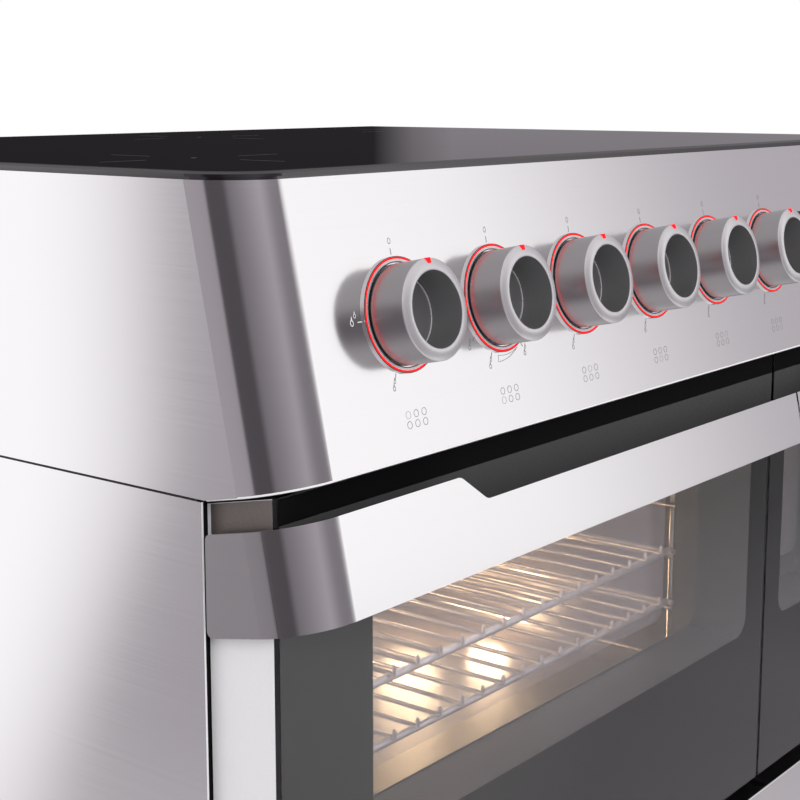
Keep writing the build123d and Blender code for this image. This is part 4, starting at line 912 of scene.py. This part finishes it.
def clock_digits():
    """The time as a flat mesh round its own middle."""
    text = bpy.data.curves.new("clock_digits", "FONT")
    text.body = "12:30"
    text.size = DIGIT_SIZE
    text.align_x = "CENTER"
    text.align_y = "CENTER"
    text.extrude = PRINT
    holder = bpy.data.objects.new("clock_digits", text)
    bpy.context.scene.collection.objects.link(holder)
    bpy.context.view_layer.update()
    graph = bpy.context.evaluated_depsgraph_get()
    flat = bpy.data.meshes.new_from_object(holder.evaluated_get(graph))
    bpy.data.objects.remove(holder)
    return flat


def display_prints():
    """Lit digits, four keys and a row of dots."""
    low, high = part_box("display_glass")
    middle = (low.x + high.x) / 2
    edit = bmesh.new()
    flat = clock_digits()
    flat.transform(on_panel(middle, DIGIT_RISE, DISPLAY_PROUD + PRINT))
    edit.from_mesh(flat)
    bpy.data.meshes.remove(flat)
    for offset in KEY_OFFSETS:
        key = on_panel(middle + offset, KEY_RISE, DISPLAY_PROUD)
        flat_ring(edit, *KEY_RING, key, 32)
        flat_bar(edit, KEY_BAR, KEY_LINE, key)
    for offset in PLUS_OFFSETS:
        flat_bar(edit, KEY_LINE, KEY_BAR, on_panel(middle + offset, KEY_RISE, DISPLAY_PROUD))
    for offset in DOT_OFFSETS:
        flat_disc(edit, DOT_RADIUS, on_panel(middle + offset, KEY_RISE, DISPLAY_PROUD), 16)
    return piece("display_prints", edit, "cooker_body", DIGIT_GLOW)


# Screws on the back and wire ends on the racks
SCREW_RADIUS = 0.0042
SCREW_DOME = 0.45
SCREW_ARM = tuple(SCREW_RADIUS * share for share in (1.1, 0.22, 0.1))
SCREW_ARM_LIFT = SCREW_RADIUS * 0.46
SCREW_EDGE = 0.02
SCREW_FOOT = 0.015
SCREW_COLUMNS = (-0.22, 0.0, 0.22)
SCREW_ROWS = (0.3, 0.45, 0.6, 0.75)
BOX_SCREW_EDGE = 0.012
STUB_PITCH = 0.0267
STUB_ROOM = 0.017
STUB_RADIUS = 0.0016
STUB_STRETCH = 2.6
STUB_BACK = 0.0008
STUB_LIFT = 0.0012


def screw_head(edit, place):
    """A domed head with a raised cross."""
    head = bmesh.ops.create_uvsphere(edit, u_segments=16, v_segments=8, radius=SCREW_RADIUS)["verts"]
    bmesh.ops.scale(edit, vec=(1, 1, SCREW_DOME), verts=head)
    bmesh.ops.transform(edit, matrix=place, verts=head)
    lift = Matrix.Translation((0, 0, SCREW_ARM_LIFT))
    for turn in (0, math.pi / 2):
        arm = bmesh.ops.create_cube(edit, size=1.0)["verts"]
        bmesh.ops.scale(edit, vec=SCREW_ARM, verts=arm)
        bmesh.ops.transform(edit, matrix=place @ Matrix.Rotation(turn, 4, "Z") @ lift, verts=arm)


def rear_screws():
    low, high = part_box("rear_panel")
    sides = (low.x + SCREW_EDGE, high.x - SCREW_EDGE)
    box_low, box_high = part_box("terminal_box")
    places = []
    for x in (sides[0], *SCREW_COLUMNS, sides[1]):
        for z in (low.z + SCREW_FOOT, high.z - SCREW_EDGE):
            places.append(facing_back(x, high.y, z))
    for x in sides:
        for z in SCREW_ROWS:
            places.append(facing_back(x, high.y, z))
    for x in (box_low.x + BOX_SCREW_EDGE, box_high.x - BOX_SCREW_EDGE):
        for z in (box_low.z + BOX_SCREW_EDGE, box_high.z - BOX_SCREW_EDGE):
            places.append(facing_back(x, box_high.y, z))
    edit = bmesh.new()
    for place in places:
        screw_head(edit, place)
    return piece("rear_screws", edit, "cooker_body", SCREW_STEEL)


def rack_stubs(name):
    """The bent-up wire ends along a rack's front rod."""
    low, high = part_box(name)
    edit = bmesh.new()
    count = int((high.x - low.x - STUB_ROOM) / STUB_PITCH)
    middle = (low.x + high.x) / 2
    for step in range(count):
        x = middle + (step - (count - 1) / 2) * STUB_PITCH
        tip = bmesh.ops.create_uvsphere(edit, u_segments=10, v_segments=6, radius=STUB_RADIUS)["verts"]
        bmesh.ops.scale(edit, vec=(1, 1, STUB_STRETCH), verts=tip)
        bmesh.ops.translate(edit, vec=(x, low.y + STUB_BACK, high.z + STUB_LIFT), verts=tip)
    return piece(f"{name}_stubs", edit, "cooker_body", ROD_PAINTED_HIGHLIGHT)


panel_bead()
panel_prints()
full_power_prints()
knob_ring_shade_lines()
knob_ring_bands()
for number, knob_x in enumerate(KNOB_X, 1):
    knob_pointer(number, knob_x)
    knob_cup_ring(number, knob_x)
    knob_rim(number, knob_x)
hob_prints()
door_border("main", "main_door", WINDOW_OVERLAP, 0)
door_border("side", "side_door", 0, WINDOW_OVERLAP)
for name in ("main", "side"):
    painted_shade_strip(name, "top", f"{name}_door", TOP_STRIP_DROP, TOP_STRIP_TALL, FINGER_GAP_PAINTED_SHADE)
for name in ("main", "side"):
    painted_shade_strip(name, "grip", f"{name}_door", GRIP_STRIP_DROP, GRIP_STRIP_TALL, GRIP_PAINTED_SHADE)
door_shade_patch("main", "main_door", -1)
door_shade_patch("side", "side_door", 1)
pane_coat("main", "main_door", COAT_MARGIN, COAT_SPLIT_MAIN)
pane_coat("side", "side_door", COAT_SPLIT_SIDE, COAT_MARGIN)
display_prints()
rear_screws()
for rack in RACKS:
    rack_stubs(rack)

# Studio: the grey levels that steel and glass mirror, by degrees round from the front to the right
STUDIO_ROUND = (
    (-180, 0.55),  # back wall
    (-155, 0.74),
    (-142, 1.13),  # white wall at the left rear
    (-140, 1.07),
    (-138, 0.90),
    (-136.5, 0.27),  # grey flag along the left
    (-135.5, 0.36),
    (-99, 0.32),
    (-95.5, 0.075),  # dark flag at the left front
    (-66, 0.07),
    (-57, 0.17),  # dim front of the room
    (-36, 0.235),
    (-3, 0.36),
    (17, 0.22),
    (37, 0.19),
    (42.5, 1.12),  # white wall at the right front
    (55, 1.0),
    (63, 0.47),  # grey wall along the right
    (72, 0.42),
    (118, 0.25),
    (127.9, 0.25),
    (128.1, 0.022),  # dark flag at the right rear
    (146, 0.02),
    (160, 0.5),
    (180, 0.55),
)
# Height of a mirrored ray at which the flags begin and end to lean, and how far they lean
LEAN_START = -0.235
LEAN_END = -0.435
LEAN_TURN = math.radians(4.8)
# Grey covers below and above: where each begins, where it is full, and its level
COVERS = ((-0.37, -0.62, 0.66), (0.29, 0.52, 0.62))
# The low flag on the right that darkens the door glass: an axis, where it begins and where it is full
GLASS_FLAG = (("X", 0.15, 0.35), ("Z", -0.345, -0.25), ("Z", -0.08, -0.13))
GLASS_FLAG_GREY = (0.17, 0.165, 0.168, 1)
ROOM_GREY = (0.55, 0.55, 0.56, 1)
WHITE = (1, 1, 1, 1)
FLOOR_RADIUS = 6.0
FLOOR_FADE_START = 1.6
FLOOR_FADE_END = 5.0
LIGHT_AIM = (0, 0, 0.6)
# Soft boxes: name, place, size and power
SOFT_BOXES = (
    ("key_box", (-2.2, -2.6, 2.6), (1.8, 1.8), 70),
    ("fill_box", (2.6, -2.2, 2.0), (2.0, 2.0), 45),
    ("back_box", (0.4, 2.8, 2.4), (2.0, 1.6), 40),
)
# Oven lights: distances in from the walls, mouths and tops of the ovens
LAMP_IN = 0.045
LOW_GLOW = Vector((0.508, 0.195, 0.027))
DEEP_GLOW = Vector((0.480, 0.270, 0.060))
MAIN_MOUTH_IN = 0.22
SIDE_MOUTH_IN = 0.08
MOUTH_BACK = 0.012
MOUTH_DROP = 0.04
WARM = (1.0, 0.70, 0.40)
COOL = (1.0, 0.95, 1.0)


def studio_floor():
    """A pale disc that keeps the shadow and fades out; clear from below."""
    edit = bmesh.new()
    bmesh.ops.create_circle(edit, cap_ends=True, segments=96, radius=FLOOR_RADIUS)
    data = bpy.data.meshes.new("studio_floor")
    edit.to_mesh(data)
    edit.free()
    floor = bpy.data.objects.new("studio_floor", data)
    bpy.context.scene.collection.objects.link(floor)
    material, tree, shader = finish_base("floor_pale")
    tone = tint(tree, grain(tree, (1.5, 1.5, 1.5), detail=2.0), (0.90, 0.90, 0.90), (0.92, 0.92, 0.92))
    tree.links.new(tone, shader.inputs["Base Color"])
    shader.inputs["Roughness"].default_value = 0.7
    coords = tree.nodes.new("ShaderNodeTexCoord")
    length = tree.nodes.new("ShaderNodeVectorMath")
    length.operation = "LENGTH"
    tree.links.new(coords.outputs["Object"], length.inputs[0])
    fade = remapped(tree, length.outputs["Value"], FLOOR_FADE_START, FLOOR_FADE_END)
    below = tree.nodes.new("ShaderNodeNewGeometry")
    clear = tree.nodes.new("ShaderNodeBsdfTransparent")
    mix = tree.nodes.new("ShaderNodeMixShader")
    tree.links.new(math_node(tree, "MAXIMUM", fade, below.outputs["Backfacing"]), mix.inputs["Fac"])
    tree.links.new(shader.outputs["BSDF"], mix.inputs[1])
    tree.links.new(clear.outputs["BSDF"], mix.inputs[2])
    tree.links.new(mix.outputs["Shader"], tree.nodes["Material Output"].inputs["Surface"])
    data.materials.append(material)
    floor.visible_glossy = False


def studio_round(tree, parts):
    """The grey levels round the studio, as a colour by a ray's direction."""
    to_front = math_node(tree, "MULTIPLY", parts.outputs["Y"], -1.0)
    angle = math_node(tree, "ARCTAN2", parts.outputs["X"], to_front)
    lean = remapped(tree, parts.outputs["Z"], LEAN_START, LEAN_END, 0.0, LEAN_TURN)
    leaning = math_node(tree, "ADD", angle, lean)
    ramp = tree.nodes.new("ShaderNodeValToRGB")
    stops = ramp.color_ramp.elements
    while len(stops) < len(STUDIO_ROUND):
        stops.new(0.5)
    for stop, (degrees, level) in zip(stops, STUDIO_ROUND):
        stop.position = (degrees + 180) / 360
        stop.color = (level, level * (0.90 + 0.09 * min(level, 1)), level, 1)
    tree.links.new(remapped(tree, leaning, -math.pi, math.pi), ramp.inputs["Fac"])
    return ramp.outputs["Color"]


def studio_world():
    """White to the camera; reflections see a soft round studio with grey and dark flags."""
    world = bpy.data.worlds.new("studio")
    bpy.context.scene.world = world
    world.use_nodes = True
    tree = world.node_tree
    background = tree.nodes["Background"]
    coords = tree.nodes.new("ShaderNodeTexCoord")
    parts = tree.nodes.new("ShaderNodeSeparateXYZ")
    tree.links.new(coords.outputs["Generated"], parts.inputs["Vector"])
    mirrored = studio_round(tree, parts)
    for start, end, level in COVERS:
        cover = remapped(tree, parts.outputs["Z"], start, end)
        mirrored = blended(tree, cover, mirrored, (level, level * 0.975, level * 0.99, 1))
    shade = None
    for axis, start, end in GLASS_FLAG:
        edge = remapped(tree, parts.outputs[axis], start, end)
        shade = math_node(tree, "MULTIPLY", shade, edge) if shade else edge
    mirrored = blended(tree, shade, mirrored, GLASS_FLAG_GREY)
    path = tree.nodes.new("ShaderNodeLightPath")
    through = path.outputs["Is Transmission Ray"]
    in_gloss = math_node(tree, "MAXIMUM", path.outputs["Is Glossy Ray"], through)
    room = blended(tree, in_gloss, ROOM_GREY, mirrored)
    not_mirrored = math_node(tree, "LESS_THAN", path.outputs["Glossy Depth"], 0.5)
    straight = math_node(tree, "MULTIPLY", not_mirrored, through)
    seen = math_node(tree, "MAXIMUM", path.outputs["Is Camera Ray"], straight)
    tree.links.new(blended(tree, seen, room, WHITE), background.inputs["Color"])
    background.inputs["Strength"].default_value = 1.0


def soft_box(name, place, size, power):
    """A square lamp that lights the cooker but is not seen or mirrored."""
    data = bpy.data.lights.new(name, "AREA")
    data.shape = "RECTANGLE"
    data.size, data.size_y = size
    data.energy = power
    lamp = bpy.data.objects.new(name, data)
    bpy.context.scene.collection.objects.link(lamp)
    lamp.location = place
    lamp.rotation_euler = (Vector(LIGHT_AIM) - Vector(place)).to_track_quat("-Z", "Y").to_euler()
    lamp.visible_glossy = False
    lamp.visible_camera = False


def oven_glow(name, place, power, radius=0.02, colour=WARM, mirrored=True):
    """A small lamp inside an oven, not seen itself."""
    data = bpy.data.lights.new(name, "POINT")
    data.energy = power
    data.shadow_soft_size = radius
    data.color = colour
    lamp = bpy.data.objects.new(name, data)
    bpy.context.scene.collection.objects.link(lamp)
    lamp.location = place
    lamp.visible_camera = False
    lamp.visible_transmission = False
    lamp.visible_glossy = mirrored


def oven_lights():
    """Warm light by the lamps and low in the main oven, and a cool one behind each window."""
    lamp_low, lamp_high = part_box("oven_lamps")
    main_low, main_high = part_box("main_oven_cavity")
    side_low, side_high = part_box("side_oven_cavity")
    lamp_y = (lamp_low.y + lamp_high.y) / 2
    lamp_z = (lamp_low.z + lamp_high.z) / 2
    oven_glow("main_glow_left", (main_low.x + LAMP_IN, lamp_y, lamp_z), 3.4)
    oven_glow("main_glow_right", (main_high.x - LAMP_IN, lamp_y, lamp_z), 0.6)
    oven_glow("main_glow_low", main_low + LOW_GLOW, 1.5)
    oven_glow("main_glow_deep", main_low + DEEP_GLOW, 1.5, 0.03)
    oven_glow("side_glow", (side_high.x - LAMP_IN, lamp_y, lamp_z), 1.5)
    main_mouth = (main_low.x + MAIN_MOUTH_IN, main_low.y + MOUTH_BACK, main_high.z - MOUTH_DROP)
    side_mouth = (side_low.x + SIDE_MOUTH_IN, side_low.y + MOUTH_BACK, side_high.z - MOUTH_DROP)
    oven_glow("main_mouth_light", main_mouth, 0.8, colour=COOL, mirrored=False)
    oven_glow("side_mouth_light", side_mouth, 0.4, colour=COOL, mirrored=False)


CAMERA_PLACE = (-1.07485, -0.90707, 0.94576)
CAMERA_YAW = math.radians(51.569)
CAMERA_PITCH = math.radians(9.692)
CAMERA_LENS = 71.607
CAMERA_SHIFT = -0.05


def photo_camera():
    data = bpy.data.cameras.new("photo_camera")
    data.sensor_width = 36.0
    data.lens = CAMERA_LENS
    data.shift_y = CAMERA_SHIFT
    data.clip_end = 50
    camera = bpy.data.objects.new("photo_camera", data)
    bpy.context.scene.collection.objects.link(camera)
    camera.location = CAMERA_PLACE
    camera.rotation_euler = Euler((math.pi / 2 - CAMERA_PITCH, 0, -CAMERA_YAW), "XYZ")
    bpy.context.scene.camera = camera


studio_floor()
studio_world()
for box in SOFT_BOXES:
    soft_box(*box)
oven_lights()
photo_camera()
bpy.context.scene.view_settings.view_transform = "Standard"
